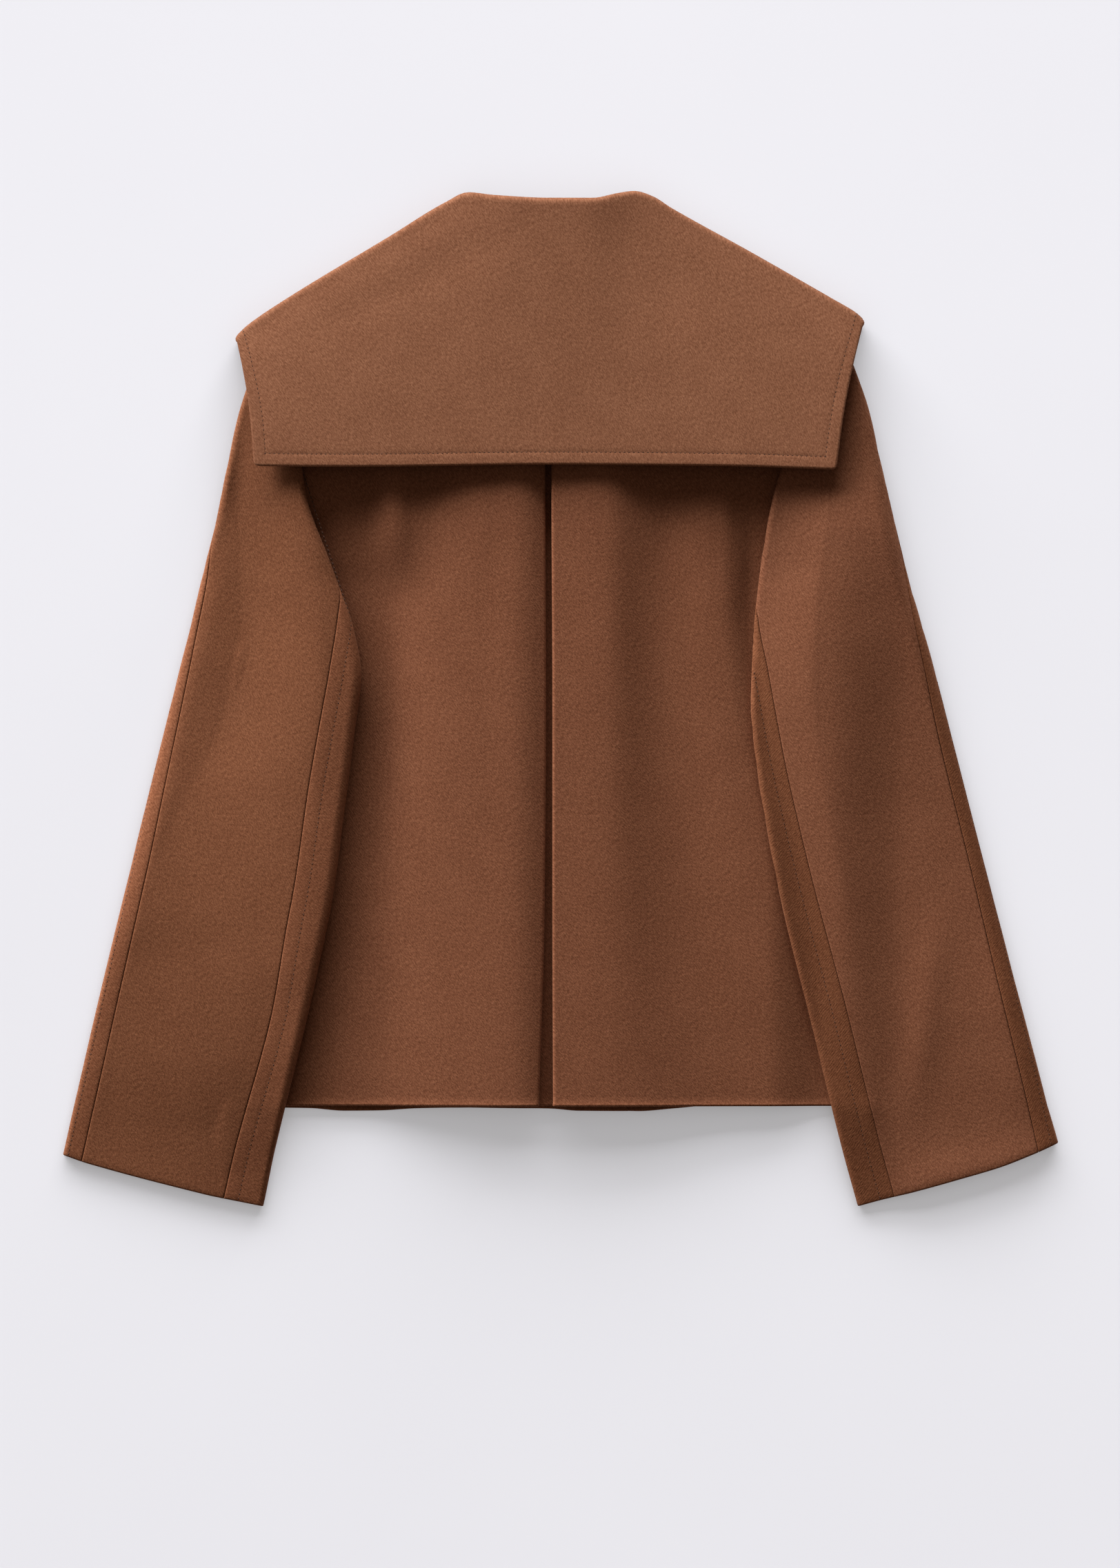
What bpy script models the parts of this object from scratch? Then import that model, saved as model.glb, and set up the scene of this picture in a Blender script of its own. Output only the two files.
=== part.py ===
"""Double-breasted wool jacket laid flat, back up: the wall of each cut piece is a solid.

Sizes are in millimetres and become metres in the meshes. The jacket lies on z = 0 with its
neck towards +Y. X is measured from the centre back while a piece is worked out, and shifted
at the end so that the origin is under the middle of the whole jacket. The wearer's right
side is at +X.
"""
import bmesh
import bpy
import numpy as np

for old_object in list(bpy.data.objects):
    bpy.data.objects.remove(old_object, do_unlink=True)

METRE = 0.001

# Driving dimensions
CENTRE_BACK_X = -7.4        # centre back seen from the middle of the whole jacket
CLOTH = 2.0                 # one layer of wool with what backs it
COLLAR_PLY = 3.6            # two layers of wool sewn together
SEAM_GAP = 0.3              # between two pieces at a seam
LAY_GAP = 0.4               # between layers that lie on each other

BACK_HEM_Y = -281.0
FRONT_HEM_Y = -282.6
OVERLAP = 54.0              # how far each front passes the centre
PLEAT_DEPTH = 47.0          # from the centre to the inner folds of the box pleat, below the collar
PLEAT_NECK_DEPTH = 28.0     # and at the neck
PLEAT_TAPER_Y = (160.0, 309.0)                  # the pleat narrows and sinks between these
BUTTON_COLUMN = 34.0
BUTTON_ROWS = (66.0, -40.0, -146.0)
BUTTON_RADIUS = 12.5
BUTTON_THICK = 3.0
BUTTON_EDGE = 0.8           # chamfer
BUTTON_BAND = ((8, 20, 48, 56, 70), (0.0, 3.4, 3.4, 2.2, 0.0))  # across, and the fronts' lift
UNDER_EDGE = (-72.0, -56.0)                     # the left front climbs onto the right one's edge
FRONT_BELOW = 6.4           # beside the pleat a front's underside lies this far below the back's middle
FRONT_CARRY = ((46.0, 68.0), (135.0, 155.0))    # that starts and ends here across
LEAF_LIFT = 4.0             # the collar's front leaves lift the fronts this far
LEAF_BAND = (28.0, 42.0)    # where that starts across
LEAF_HEM_Y = 172.0
LEAF_RISE_Y = (82.0, 152.0)                     # the body climbs onto the leaves here
LEAF_FRONT_X = 46.0
LEAF_SIDE_X = 202.0
LEAF_NECK_X = 72.0          # where a leaf starts beside the neck
NECK_TURN_X = 50.0          # and where the collar's neck roll starts to become its shoulder fold
SLEEVE_CLEAR = 1.0          # a sleeve lies this far above the back
BED_REACH = (6.0, 24.0)     # and rests on what is highest this far around, across and along
SLEEVE_SLOPE = (38.0, 4.0)                      # it comes down to the floor outside the body's side
CUFF_DROP_Y = (-345.0, -281.0)                  # and here below the hem
SLEEVE_LEAST = 4.4          # its two layers with nothing between them
ROLL_IN = {"left": 32.0, "right": 52.0}         # width of the roll along a sleeve's inner edge
ROLL_BEND = {"left": 2.0, "right": 1.5}
ROLL_OUT = 7.0              # and along its outer edge
COLLAR_RETURN = 22.0        # how far the collar reaches back under its own shoulder fold
FOLD_REACH = 5.0            # depth of the rounded shoulder fold

SIDES = {"left": -1, "right": 1}


class Table:
    """Rows of named columns, read between the rows along a curve that never overshoots."""

    def __init__(self, columns, rows):
        self.column = {name: np.array(values, float) for name, values in zip(columns, zip(*rows))}
        self.key = self.column[columns[0]]

    def at(self, name, where):
        key, value = self.key, self.column[name]
        step = np.diff(key)
        rise = np.diff(value) / step
        slope = np.empty_like(value)
        slope[0], slope[-1] = rise[0], rise[-1]
        before, after = rise[:-1], rise[1:]
        steady = before * after > 0
        total = np.where(steady, before + after, 1.0)
        slope[1:-1] = np.where(steady, 2 * before * after / total, 0.0)
        place = np.clip(np.asarray(where, float), key[0], key[-1])
        row = np.clip(np.searchsorted(key, place) - 1, 0, len(step) - 1)
        t = (place - key[row]) / step[row]
        return ((2 * t ** 3 - 3 * t ** 2 + 1) * value[row]
                + (t ** 3 - 2 * t ** 2 + t) * step[row] * slope[row]
                + (3 * t ** 2 - 2 * t ** 3) * value[row + 1]
                + (t ** 3 - t ** 2) * step[row] * slope[row + 1])


# The body: armhole and side, from the hem up
BODY_SIDE = Table(("y", "half_width"), (
    (-285, 214), (-120, 214), (-20, 211), (25, 206), (60, 190), (100, 174), (150, 170),
    (205, 176), (259, 188)))
BODY_ROWS = (-235, -190, -140, -90, -40, 0, 30, 56, 82, 96, 110, 124, 138, 152)  # level
TOP_SHARES = (0.25, 0.5, 0.75, 1.0)             # and rows from the last of these to the upper edge
SHOULDER_TIP = {"left": 250.0, "right": 259.0}
NECK_POINT = 64.0
BACK_TOP = Table(("x", "y"), (
    (-188, SHOULDER_TIP["left"]), (-NECK_POINT, 322), (-30, 313), (0, 309), (30, 313),
    (NECK_POINT, 323), (188, SHOULDER_TIP["right"])))
FRONT_TOP = {
    side: Table(("across", "y"), (
        (-OVERLAP, 205), (-40, 222), (0, 245), (40, 286), (NECK_POINT, 318), (188, tip)))
    for side, tip in SHOULDER_TIP.items()}

# Middle of the back's top layer above the floor: left and right of the pleat, and under the collar
BACK_LEFT = Table(("across", "body", "hem"), (
    (0, 10.4, 10.4), (3, 11.0, 11.0), (7, 12.2, 12.2), (11, 13.2, 13.2), (16, 14.2, 14.2),
    (22, 14.9, 14.9), (28, 15.3, 15.3), (34, 15.4, 15.4), (42, 15.1, 15.0), (50, 14.4, 14.1),
    (58, 13.7, 13.1), (72, 12.7, 11.2), (84, 11.7, 9.2), (91, 10.6, 8.0), (97, 9.2, 7.0),
    (104, 7.4, 6.0), (111, 5.7, 5.3), (118, 4.6, 4.8), (130, 4.0, 4.3), (175, 3.6, 3.6)))
HEM_FROM_Y = (-40.0, -190.0)                    # from the body's slope on the left to the hem's
BACK_RIGHT = Table(("across", "z"), (
    (0, 15.6), (10, 15.7), (26, 15.9), (34, 15.8), (40, 15.2), (46, 14.1), (52, 12.7), (58, 11.4),
    (64, 10.4), (70, 9.7), (77, 9.3), (86, 9.2), (98, 9.5), (108, 9.6), (115, 9.3), (121, 8.6),
    (127, 7.1), (132, 5.4), (138, 4.2), (160, 3.6)))
BACK_SHOULDER = Table(("across", "z"), (
    (0, 11.4), (12, 11.8), (28, 12.0), (40, 11.6), (52, 10.4), (66, 9.2), (84, 8.5), (100, 8.2),
    (150, 8.2)))
SIDE_LEVEL = 3.6                                # the back under the sleeves
SIDE_LEVEL_X = (150.0, 190.0)
FLANK_START = 36.0                              # the slope right of the pleat widens from here
FLANK_WIDER = Table(("y", "by"), (
    (-281, 2.2), (-232, 1.7), (-185, 1.2), (-137, 0.8), (-90, 0.5), (6, 0.0), (323, 0.0)))
PLEAT_EDGE = Table(("y", "left", "right"), (
    (-281, -7.1, 2.6), (-150, -3.2, 2.2), (0, -2.1, 2.2), (150, -2.6, 1.5), (323, -2.4, 1.6)))
BACK_KNOTS = (138, 130, 121, 108, 96, 82, 70, 60, 50, 42, 34, 23)
EDGE_KNOT = 9                                   # one more, measured from the pleat's edge
FRONT_KNOTS = (130, 110, 90, 72, 60, 54, 48, 42, 28, 20, 8)
SIDE_KNOTS = (0, 12, 30)                         # measured from the side
BETWEEN_SHARES = (0.5,)                          # and between the last of these and the first of those
UNDERLAY_KNOTS = ((42, 4), (28, 12), (20, 16), (8, 20))     # across, but so far inside the inner fold
MIDDLE_KNOTS = ((26, 0.6), (38, 0.82))          # across, but at most this share of the depth
MIDDLE_SHARE = 0.5                              # the middle layer lies halfway

# The collar: its upper outline over neck and shoulders, and its lower edge
COLLAR_TOP = Table(("x", "y"), (
    (-215, 251), (-184, 272), (-108, 318), (-70, 341), (-56, 347), (-38, 345), (0, 343),
    (30, 343), (48, 346.5), (59, 348), (70, 345), (83, 337), (139, 306), (196, 273.5), (216, 262)))
COLLAR_EDGE = Table(("x", "y"), (
    (-203, 158.6), (-140, 158.1), (0, 159.6), (120, 158.6), (197, 156.1)))
COLLAR_TAPER = {"left": 0.942, "right": 0.912}      # lower width as a share of the upper
COLLAR_STATIONS = (-215, -200, -184, -160, -134, -108, -88, -72, -64, -56, -46, -34, -17, 0,
                   17, 32, 46, 59, 66, 73, 90, 112, 139, 164, 184, 200, 216)
COLLAR_LOFT = Table(("across", "edge", "fold"), (
    (0, 21.0, 23.6), (25, 21.1, 23.0), (45, 21.1, 20.6), (60, 21.2, 18.6), (90, 21.3, 16.6),
    (130, 22.0, 15.6), (165, 22.4, 15.4), (216, 22.2, 15.2)))
FLAP_KNOTS = (0.0, 0.1, 0.25, 0.42, 0.6, 0.78)
STAND_LEVEL = 11.6
LEAF_STATIONS = (72, 90, 112, 139, 164, 184, 200, 215)

# The sleeves, seen flat: along from the cuff, across from the outer edge
SLEEVE_COLUMNS = ("along", "outer_edge", "inner_edge", "outer_seam_in", "inner_seam_in")
SLEEVE_SHAPE = {
    "left": Table(SLEEVE_COLUMNS, (
        (0, 0, 143, 13.7, 27.8), (40, -0.8, 141.5, 13.9, 26.7), (120, -1, 142, 13.2, 26),
        (200, -0.9, 140.3, 12.2, 29), (280, -0.6, 132.8, 9.6, 28.4), (340, -0.2, 126.3, 7.4, 25.8),
        (364, 0, 123.6, 6.3, 24.5), (400, 0, 109.1, 5, 12.9), (427, 0.2, 91.5, 2.2, 0),
        (440, 0.4, 82.7, 0.6, -3), (480, -0.8, 56.6, -4, -6), (520, -1.9, 42, -6, -6),
        (545, -0.5, 31, -6, -6), (572, 2, 17, -5, -5))),
    "right": Table(SLEEVE_COLUMNS, (
        (0, 0, 144.7, 15.4, 25.8), (40, 0.4, 145.3, 13.6, 26), (120, 0.2, 143.9, 12.1, 26),
        (200, -0.2, 142.3, 10.2, 24.5), (280, -0.9, 136.9, 9.4, 20.9), (340, -1.4, 128.5, 7, 16.5),
        (364, -1.1, 121.6, 5.4, 11.6), (400, -0.2, 109.9, 2.2, 2.5), (427, -0.7, 99.4, 0.8, -2),
        (440, -1, 94.1, 0, -4), (480, -2.1, 75.1, -4, -6), (520, -3.6, 50, -6, -6),
        (545, -2, 34, -6, -6), (572, 1, 18, -5, -5))),
}
SLEEVE_EDGES = {                                # thickness along the two edges
    "left": Table(("along", "outer", "inner"), (
        (0, 4.8, 4.8), (30, 4.8, 5.0), (120, 6.0, 9.6), (440, 7.0, 10.4), (480, 7.2, 8.6),
        (520, 6.6, 6.6), (545, 5.6, 5.6), (572, 4.8, 4.8))),
    "right": Table(("along", "outer", "inner"), (
        (0, 6.4, 4.6), (120, 6.4, 4.6), (440, 6.4, 4.6), (480, 6.4, 5.4), (520, 6.0, 6.0),
        (545, 5.6, 5.6), (572, 4.8, 4.8))),
}
# Height of a sleeve's upper side near both edges, and the distances from the centre between which it changes
UPPER_COLUMNS = ("y", "outer", "inner", "begin", "stop")
SLEEVE_UPPER = {
    "left": Table(UPPER_COLUMNS, (
        (-350, 4.8, 5.0, 268, 196), (-320, 4.8, 6.4, 268, 194), (-300, 4.9, 8.0, 266, 190),
        (-280, 5.4, 9.6, 264, 186), (-250, 6.4, 11.8, 262, 180), (-213, 7.2, 14.2, 258, 172),
        (-180, 7.8, 15.6, 254, 168), (-146, 8.2, 16.6, 248, 166), (-80, 8.4, 17.4, 236, 164),
        (-13, 8.6, 17.6, 224, 162), (53, 8.8, 18, 216, 162), (110, 9.2, 17.8, 214, 166),
        (160, 9.6, 17, 218, 172), (250, 9.6, 12, 224, 180))),
    "right": Table(UPPER_COLUMNS, (
        (-350, 7.6, 4.8, 262, 212), (-320, 7.6, 6.4, 260, 206), (-280, 8.0, 9.8, 254, 200),
        (-250, 8.4, 12.0, 250, 200), (-213, 8.8, 14.0, 246, 198), (-146, 8.8, 15.4, 244, 196),
        (-80, 8.8, 16.2, 240, 194), (-13, 9.2, 16.8, 234, 192), (53, 10.6, 17.4, 236, 194),
        (110, 12.2, 14.8, 240, 196), (160, 11.6, 12.4, 240, 190), (250, 10.4, 10.8, 228, 184))),
}
SLEEVE_CORNER = {"left": (-334.9, -314.0), "right": (350.1, -305.4)}    # outer end of the cuff
SLEEVE_ANGLE = {"left": 13.6, "right": 14.9}                            # degrees off the centre back
CUFF_SKEW = {"left": 2.2, "right": 7.6}                                 # the cuff's inner end hangs lower
CUFF_WIDTH = 144.0
SKEW_REACH = 200.0                                                      # and this far up the sleeve
SLEEVE_STATIONS = (0, 35, 70, 120, 175, 230, 285, 325, 352, 372, 386, 393, 400, 406, 414, 427, 440, 480,
                   520, 572)
BACK_PANEL_POINTS = 13
FRONT_PANEL_POINTS = 26
SPREAD_STEPS = 400
TURN_WEIGHT = 8             # points lie this much closer where the sleeve turns
TURN_REACH = 1.3


def ramp(low, high, value):
    t = np.clip((np.asarray(value, float) - low) / (high - low), 0.0, 1.0)
    return t * t * (3 - 2 * t)


def under_collar(y):
    """1 where the collar's front leaves lie below the body, 0 below them."""
    return float(np.interp(y, LEAF_RISE_Y, (0, 1)))


def pleat_loft(y):
    """1 where the pleat and the folds beside it stand up fully, 0 at the neck."""
    return 1 - ramp(*PLEAT_TAPER_Y, y)


def body_level(x, y):
    """Middle of the back's top layer below the collar."""
    if x < 0:
        gentle = ramp(*HEM_FROM_Y, y)
        level = (1 - gentle) * BACK_LEFT.at("body", -x) + gentle * BACK_LEFT.at("hem", -x)
    else:
        past = max(x - FLANK_START, 0.0)
        level = BACK_RIGHT.at("z", x - past + past / (1 + FLANK_WIDER.at("by", y)))
    return level + (SIDE_LEVEL - level) * ramp(*SIDE_LEVEL_X, abs(x))


def back_level(x, y):
    """Middle of the back's top layer: it climbs onto the leaves, and sinks towards the neck."""
    shoulder = BACK_SHOULDER.at("z", abs(x))
    above = body_level(x, y) - shoulder
    return float(shoulder + max(above, 0) * pleat_loft(y) + min(above, 0) * (1 - under_collar(y)))


def front_base(x, y):
    """Underside of the outer front: on the floor, over buttons or leaves, or close below the back."""
    across = abs(x)
    over_buttons = np.interp(across, *BUTTON_BAND)
    over_leaves = LEAF_LIFT * np.interp(across, LEAF_BAND, (0, 1))
    lifted = over_buttons + (over_leaves - over_buttons) * under_collar(y)
    carried = ramp(*FRONT_CARRY[0], across) * (1 - ramp(*FRONT_CARRY[1], across))
    return float(max(lifted, (back_level(x, y) - FRONT_BELOW) * carried))


def underlay_level(x, y):
    """Middle of the pleat's underlay, which lies on both fronts."""
    return front_base(x, y) + 2 * (CLOTH + LAY_GAP) + CLOTH / 2


def middle_level(x, y):
    """Middle of the pleat's hidden layer between the back's top layer and the underlay."""
    under = underlay_level(x, y)
    return under + MIDDLE_SHARE * (back_level(x, y) - under)


def sleeve_lift(x, y):
    """Underside of a sleeve, which lies on the back and comes down to the floor beside it."""
    outside = abs(x) - BODY_SIDE.at("half_width", max(y, BACK_HEM_Y))
    steps = (-1, 0, 1)
    bed = max(back_level(x + i * BED_REACH[0], max(y + j * BED_REACH[1], BACK_HEM_Y))
              for i in steps for j in steps)
    lift = (bed + CLOTH / 2 + SLEEVE_CLEAR) * ramp(*SLEEVE_SLOPE, outside) * np.interp(y, CUFF_DROP_Y, (0, 1))
    return max(float(lift), (LEAF_LIFT + LAY_GAP) * under_collar(y))


def sleeve_upper(side, x, y):
    """Height of a sleeve's upper side away from its edges."""
    outer, inner, begin, stop = (float(SLEEVE_UPPER[side].at(name, y)) for name in UPPER_COLUMNS[1:])
    return outer + (inner - outer) * ramp(-begin, -stop, -abs(x))


def round_fold(extreme, level_from, level_to, towards, points=5):
    """Half circle of a fold seen end on, as (x, z) pairs, bulging towards +x or -x."""
    radius = abs(level_from - level_to) / 2
    middle = (level_from + level_to) / 2
    turn = np.linspace(1, -1, points) * np.pi / 2 * np.sign(level_from - level_to)
    return [(extreme + towards * radius * (np.cos(a) - 1), middle + radius * np.sin(a)) for a in turn]


def wall(sections, thick, side_on):
    """Both faces of a cloth wall from its middle sections; side_on is square to each section."""
    middle = np.array(sections, float)
    along = np.gradient(middle, axis=1)
    normal = np.cross(np.array(side_on, float)[:, None, :], along)
    normal /= np.linalg.norm(normal, axis=2, keepdims=True)
    return middle + normal * thick / 2, middle - normal * thick / 2


def cloth_material(name, colour, rough):
    material = bpy.data.materials.new(name)
    material.use_nodes = True
    shader = material.node_tree.nodes["Principled BSDF"]
    shader.inputs["Base Color"].default_value = (*colour, 1.0)
    shader.inputs["Roughness"].default_value = rough
    shader.inputs["Metallic"].default_value = 0.0
    material.diffuse_color = (*colour, 1.0)
    return material


WOOL = (0.20, 0.083, 0.045)
HORN = (0.045, 0.022, 0.013)


def finish(name, mesh, colour, rough):
    mesh.materials.append(cloth_material(name + "_finish", colour, rough))
    piece = bpy.data.objects.new(name, mesh)
    bpy.context.scene.collection.objects.link(piece)
    return piece


def panel(name, upper, lower):
    """Closed solid between two faces of the same grid of points."""
    rows, columns = upper.shape[:2]
    points = np.concatenate([upper.reshape(-1, 3), lower.reshape(-1, 3)])
    points[:, 0] += CENTRE_BACK_X
    under = rows * columns

    def number(row, column):
        return row * columns + column

    faces = []
    for r in range(rows - 1):
        for c in range(columns - 1):
            quad = (number(r, c), number(r, c + 1), number(r + 1, c + 1), number(r + 1, c))
            faces.append(quad)
            faces.append(tuple(under + n for n in reversed(quad)))
    rim = ([number(0, c) for c in range(columns)]
           + [number(r, columns - 1) for r in range(1, rows)]
           + [number(rows - 1, c) for c in range(columns - 2, -1, -1)]
           + [number(r, 0) for r in range(rows - 2, 0, -1)])
    for a, b in zip(rim, rim[1:] + rim[:1]):
        faces.append((b, a, under + a, under + b))
    mesh = bpy.data.meshes.new(name)
    mesh.from_pydata([tuple(p) for p in points * METRE], [], faces)
    shape = bmesh.new()
    shape.from_mesh(mesh)
    bmesh.ops.triangulate(shape, faces=shape.faces[:])
    bmesh.ops.recalc_face_normals(shape, faces=shape.faces[:])
    shape.to_mesh(mesh)
    shape.free()
    return finish(name, mesh, WOOL, 0.95)


ROWS = range(1 + len(BODY_ROWS) + len(TOP_SHARES))


def row_y(row, hem, top):
    """Place of a row of the body: the hem, a level row, or on the way to the upper edge."""
    level = (hem,) + BODY_ROWS
    if row < len(level):
        return level[row]
    return level[-1] + TOP_SHARES[row - len(level)] * (top - level[-1])


def across_body(row, side, knots):
    """Distances from the centre of one half of the body, from its side inwards."""
    half = float(BODY_SIDE.at("half_width", row_y(row, BACK_HEM_Y, SHOULDER_TIP[side])))
    at_side = [half - k for k in SIDE_KNOTS]
    between = [knots[0] + f * (at_side[-1] - knots[0]) for f in BETWEEN_SHARES]
    return at_side + between + list(knots)


def back_half(row, side):
    """One half of a back section as (x, y, z), from the side through the pleat to the centre."""
    sign = SIDES[side]
    y = row_y(row, BACK_HEM_Y, float(BACK_TOP.at("y", 0.0)))
    edge = float(PLEAT_EDGE.at(side, y))
    depth = PLEAT_NECK_DEPTH + (PLEAT_DEPTH - PLEAT_NECK_DEPTH) * float(pleat_loft(y))
    inner = sign * depth
    knots = BACK_KNOTS + (abs(edge) + EDGE_KNOT,)
    points = []
    for a, a_top in zip(across_body(row, side, knots), across_body(ROWS[-1], side, knots)):
        point_y = row_y(row, BACK_HEM_Y, float(BACK_TOP.at("y", sign * a_top)))
        points.append((sign * a, point_y, back_level(sign * a, point_y)))
    hidden = round_fold(edge + sign * CLOTH / 2, back_level(edge, y), middle_level(edge, y), -sign)
    for a in [abs(edge) + EDGE_KNOT] + [min(knot, limit * depth) for knot, limit in MIDDLE_KNOTS]:
        hidden.append((sign * a, middle_level(sign * a, y)))
    hidden += round_fold(inner, middle_level(inner, y), underlay_level(inner, y), sign)
    for knot, inset in UNDERLAY_KNOTS:
        x = sign * min(knot, depth - inset)
        hidden.append((x, underlay_level(x, y)))
    return points + [(x, y, z) for x, z in hidden], (0.0, y, underlay_level(0.0, y))


def back():
    sections = []
    for row in ROWS:
        left, centre = back_half(row, "left")
        right, _ = back_half(row, "right")
        sections.append(left + [centre] + right[::-1])
    side_on = [(0.0, -1.0, 0.0)] * len(sections)
    return panel("back", *wall(sections, CLOTH, side_on))


def front(side):
    """A front from its side seam to its edge past the centre; the left one lies on the right one."""
    sign = SIDES[side]
    knots = FRONT_KNOTS + (0,) + tuple(-a for a in reversed(FRONT_KNOTS) if a <= OVERLAP)
    sections = []
    for row in ROWS:
        section = []
        for a, a_top in zip(across_body(row, side, knots), across_body(ROWS[-1], side, knots)):
            x = sign * a
            y = row_y(row, FRONT_HEM_Y, float(FRONT_TOP[side].at("y", a_top)))
            z = front_base(x, y) + CLOTH / 2
            if side == "left":
                z += (CLOTH + LAY_GAP) * float(ramp(*UNDER_EDGE, x))
            section.append((x, y, z))
        sections.append(section)
    side_on = [(0.0, sign * 1.0, 0.0)] * len(sections)
    return panel("front_" + side, *wall(sections, CLOTH, side_on))


def collar_side(x):
    return "left" if x < 0 else "right"


def collar_line(x):
    """Fold point and lower edge point of one collar section, and the way between them."""
    fold = np.array((x, float(COLLAR_TOP.at("y", x)), 0.0))
    edge_x = x * COLLAR_TAPER[collar_side(x)]
    edge = np.array((edge_x, float(COLLAR_EDGE.at("y", edge_x)), 0.0))
    length = float(np.linalg.norm(fold - edge))
    return edge, (fold - edge) / length, length


def neckness(x):
    """1 across the back neck, 0 over the shoulders."""
    return 1 - float(ramp(NECK_TURN_X, LEAF_NECK_X, abs(x)))


def collar():
    sections, side_on = [], []
    for x in COLLAR_STATIONS:
        edge, way, length = collar_line(x)
        neck = neckness(x)
        at_edge = float(COLLAR_LOFT.at("edge", abs(x)))
        at_fold = float(COLLAR_LOFT.at("fold", abs(x)))
        low = COLLAR_PLY / 2 + neck * (STAND_LEVEL - COLLAR_PLY / 2)
        half_height = (at_fold - low) / 2
        reach = min(half_height, FOLD_REACH)
        centre = length - COLLAR_PLY / 2 - reach
        fold_y = float(COLLAR_TOP.at("y", x))
        stand = fold_y - float(BACK_TOP.at("y", x)) - SEAM_GAP
        back_end = length - (neck * stand + (1 - neck) * COLLAR_RETURN)
        flat = [(f * centre, at_edge + (at_fold - at_edge) * f * f) for f in FLAP_KNOTS]
        turn = [(centre + reach * np.cos(a), low + half_height * (1 + np.sin(a)))
                for a in np.linspace(np.pi / 2, -np.pi / 2, 9)]
        under = [((centre + back_end) / 2, low), (back_end, low)]
        sections.append([tuple(edge + way * d + np.array((0, 0, z))) for d, z in flat + turn + under])
        side_on.append((way[1], -way[0], 0.0))
    return panel("collar", *wall(sections, COLLAR_PLY, side_on))


def collar_leaf(side):
    """The collar's front end, flat on the floor from under the shoulder fold to its lower edge."""
    sign = SIDES[side]
    sections, side_on = [], []
    first, last = LEAF_STATIONS[0], LEAF_STATIONS[-1]
    for a in LEAF_STATIONS:
        edge, way, length = collar_line(sign * a)
        start = edge + way * (length - COLLAR_RETURN - SEAM_GAP)
        share = (a - first) / (last - first)
        end_x = sign * (LEAF_FRONT_X + share * (LEAF_SIDE_X - LEAF_FRONT_X))
        end = np.array((end_x, LEAF_HEM_Y, 0.0))
        level = np.array((0, 0, COLLAR_PLY / 2))
        sections.append([tuple(start + (end - start) * t + level) for t in (0, 0.33, 0.67, 1)])
        run = (end - start) / np.linalg.norm(end - start)
        side_on.append((-run[1], run[0], 0.0))
    return panel("collar_leaf_" + side, *wall(sections, COLLAR_PLY, side_on))


class SleeveSection:
    """Flattened ring of one sleeve at a distance from its cuff, walked along the wall's middle.

    The walk starts at the outer edge and goes over the top to the inner edge and back below.
    """

    def __init__(self, side, along):
        shape, edges = SLEEVE_SHAPE[side], SLEEVE_EDGES[side]
        self.side, self.along = side, along
        self.outer = (float(edges.at("outer", along)) - CLOTH) / 2
        self.inner = (float(edges.at("inner", along)) - CLOTH) / 2
        self.start = float(shape.at("outer_edge", along)) + CLOTH / 2 + self.outer
        self.end = float(shape.at("inner_edge", along)) - CLOTH / 2 - self.inner
        self.half = self.end - self.start + (self.outer + self.inner) * np.pi / 2
        self.outer_seam = float(shape.at("outer_seam_in", along))
        self.inner_seam = self.half - float(shape.at("inner_seam_in", along))

    def flat(self, walk, out):
        """(across, share of the rise, height above the underside) of a point moved out of the ring."""
        walk = walk % (2 * self.half)
        over = walk <= self.half
        step = walk if over else 2 * self.half - walk
        near_out = min(step / self.outer, np.pi / 2)
        near_in = min((self.half - step) / self.inner, np.pi / 2)
        if near_out < np.pi / 2:
            across = self.start - (self.outer + out) * np.cos(near_out)
        elif near_in < np.pi / 2:
            across = self.end + (self.inner + out) * np.cos(near_in)
        else:
            across = self.start + step - self.outer * np.pi / 2
        rise = np.sin(near_out) * np.sin(near_in)
        radius = self.radius(across)
        height = CLOTH / 2 + radius + (radius + out) * (rise if over else -rise)
        return across, rise if over else 0.0, height

    def radius(self, across):
        return self.outer + (self.inner - self.outer) * float(ramp(self.start, self.end, across))

    def bulge(self, across, x, y, lift):
        """How much higher than its rolled edges the upper side lies."""
        from_outer = across - self.start + self.outer
        from_inner = self.end + self.inner - across
        bend = ROLL_BEND[self.side]
        rolled = 1 - np.clip(1 - from_inner / ROLL_IN[self.side], 0, 1) ** bend
        rolled *= 1 - np.clip(1 - from_outer / ROLL_OUT, 0, 1) ** 2
        room = max(sleeve_upper(self.side, x, y) - lift, SLEEVE_LEAST)
        return (room - 2 * self.radius(across) - CLOTH) * rolled

    def point(self, walk, out):
        across, rise, height = self.flat(walk, out)
        angle = np.radians(SLEEVE_ANGLE[self.side])
        sign = SIDES[self.side]
        skew = CUFF_SKEW[self.side] * (1 - ramp(0, SKEW_REACH, self.along))
        along = self.along - skew * across / CUFF_WIDTH
        corner_x, corner_y = SLEEVE_CORNER[self.side]
        x = corner_x - sign * (along * np.sin(angle) + across * np.cos(angle))
        y = corner_y + along * np.cos(angle) - across * np.sin(angle)
        lift = sleeve_lift(x, y)
        return x, y, lift + height + rise * self.bulge(across, x, y, lift)

    def spread(self, first, last, count):
        """Places on the walk, closer together where the ring turns."""
        fine = np.linspace(first, last, SPREAD_STEPS)
        turns = np.array((0, 1, 2, 3)) * self.half
        reach = TURN_REACH * np.array((self.outer, self.inner, self.outer, self.inner)) * np.pi / 2
        near = (np.abs(fine[:, None] - turns[None, :]) < reach[None, :]).any(axis=1)
        weight = np.where(near, TURN_WEIGHT, 1)
        total = np.concatenate([[0], np.cumsum((weight[1:] + weight[:-1]) / 2)])
        return np.interp(np.linspace(0, total[-1], count), total, fine)


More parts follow.
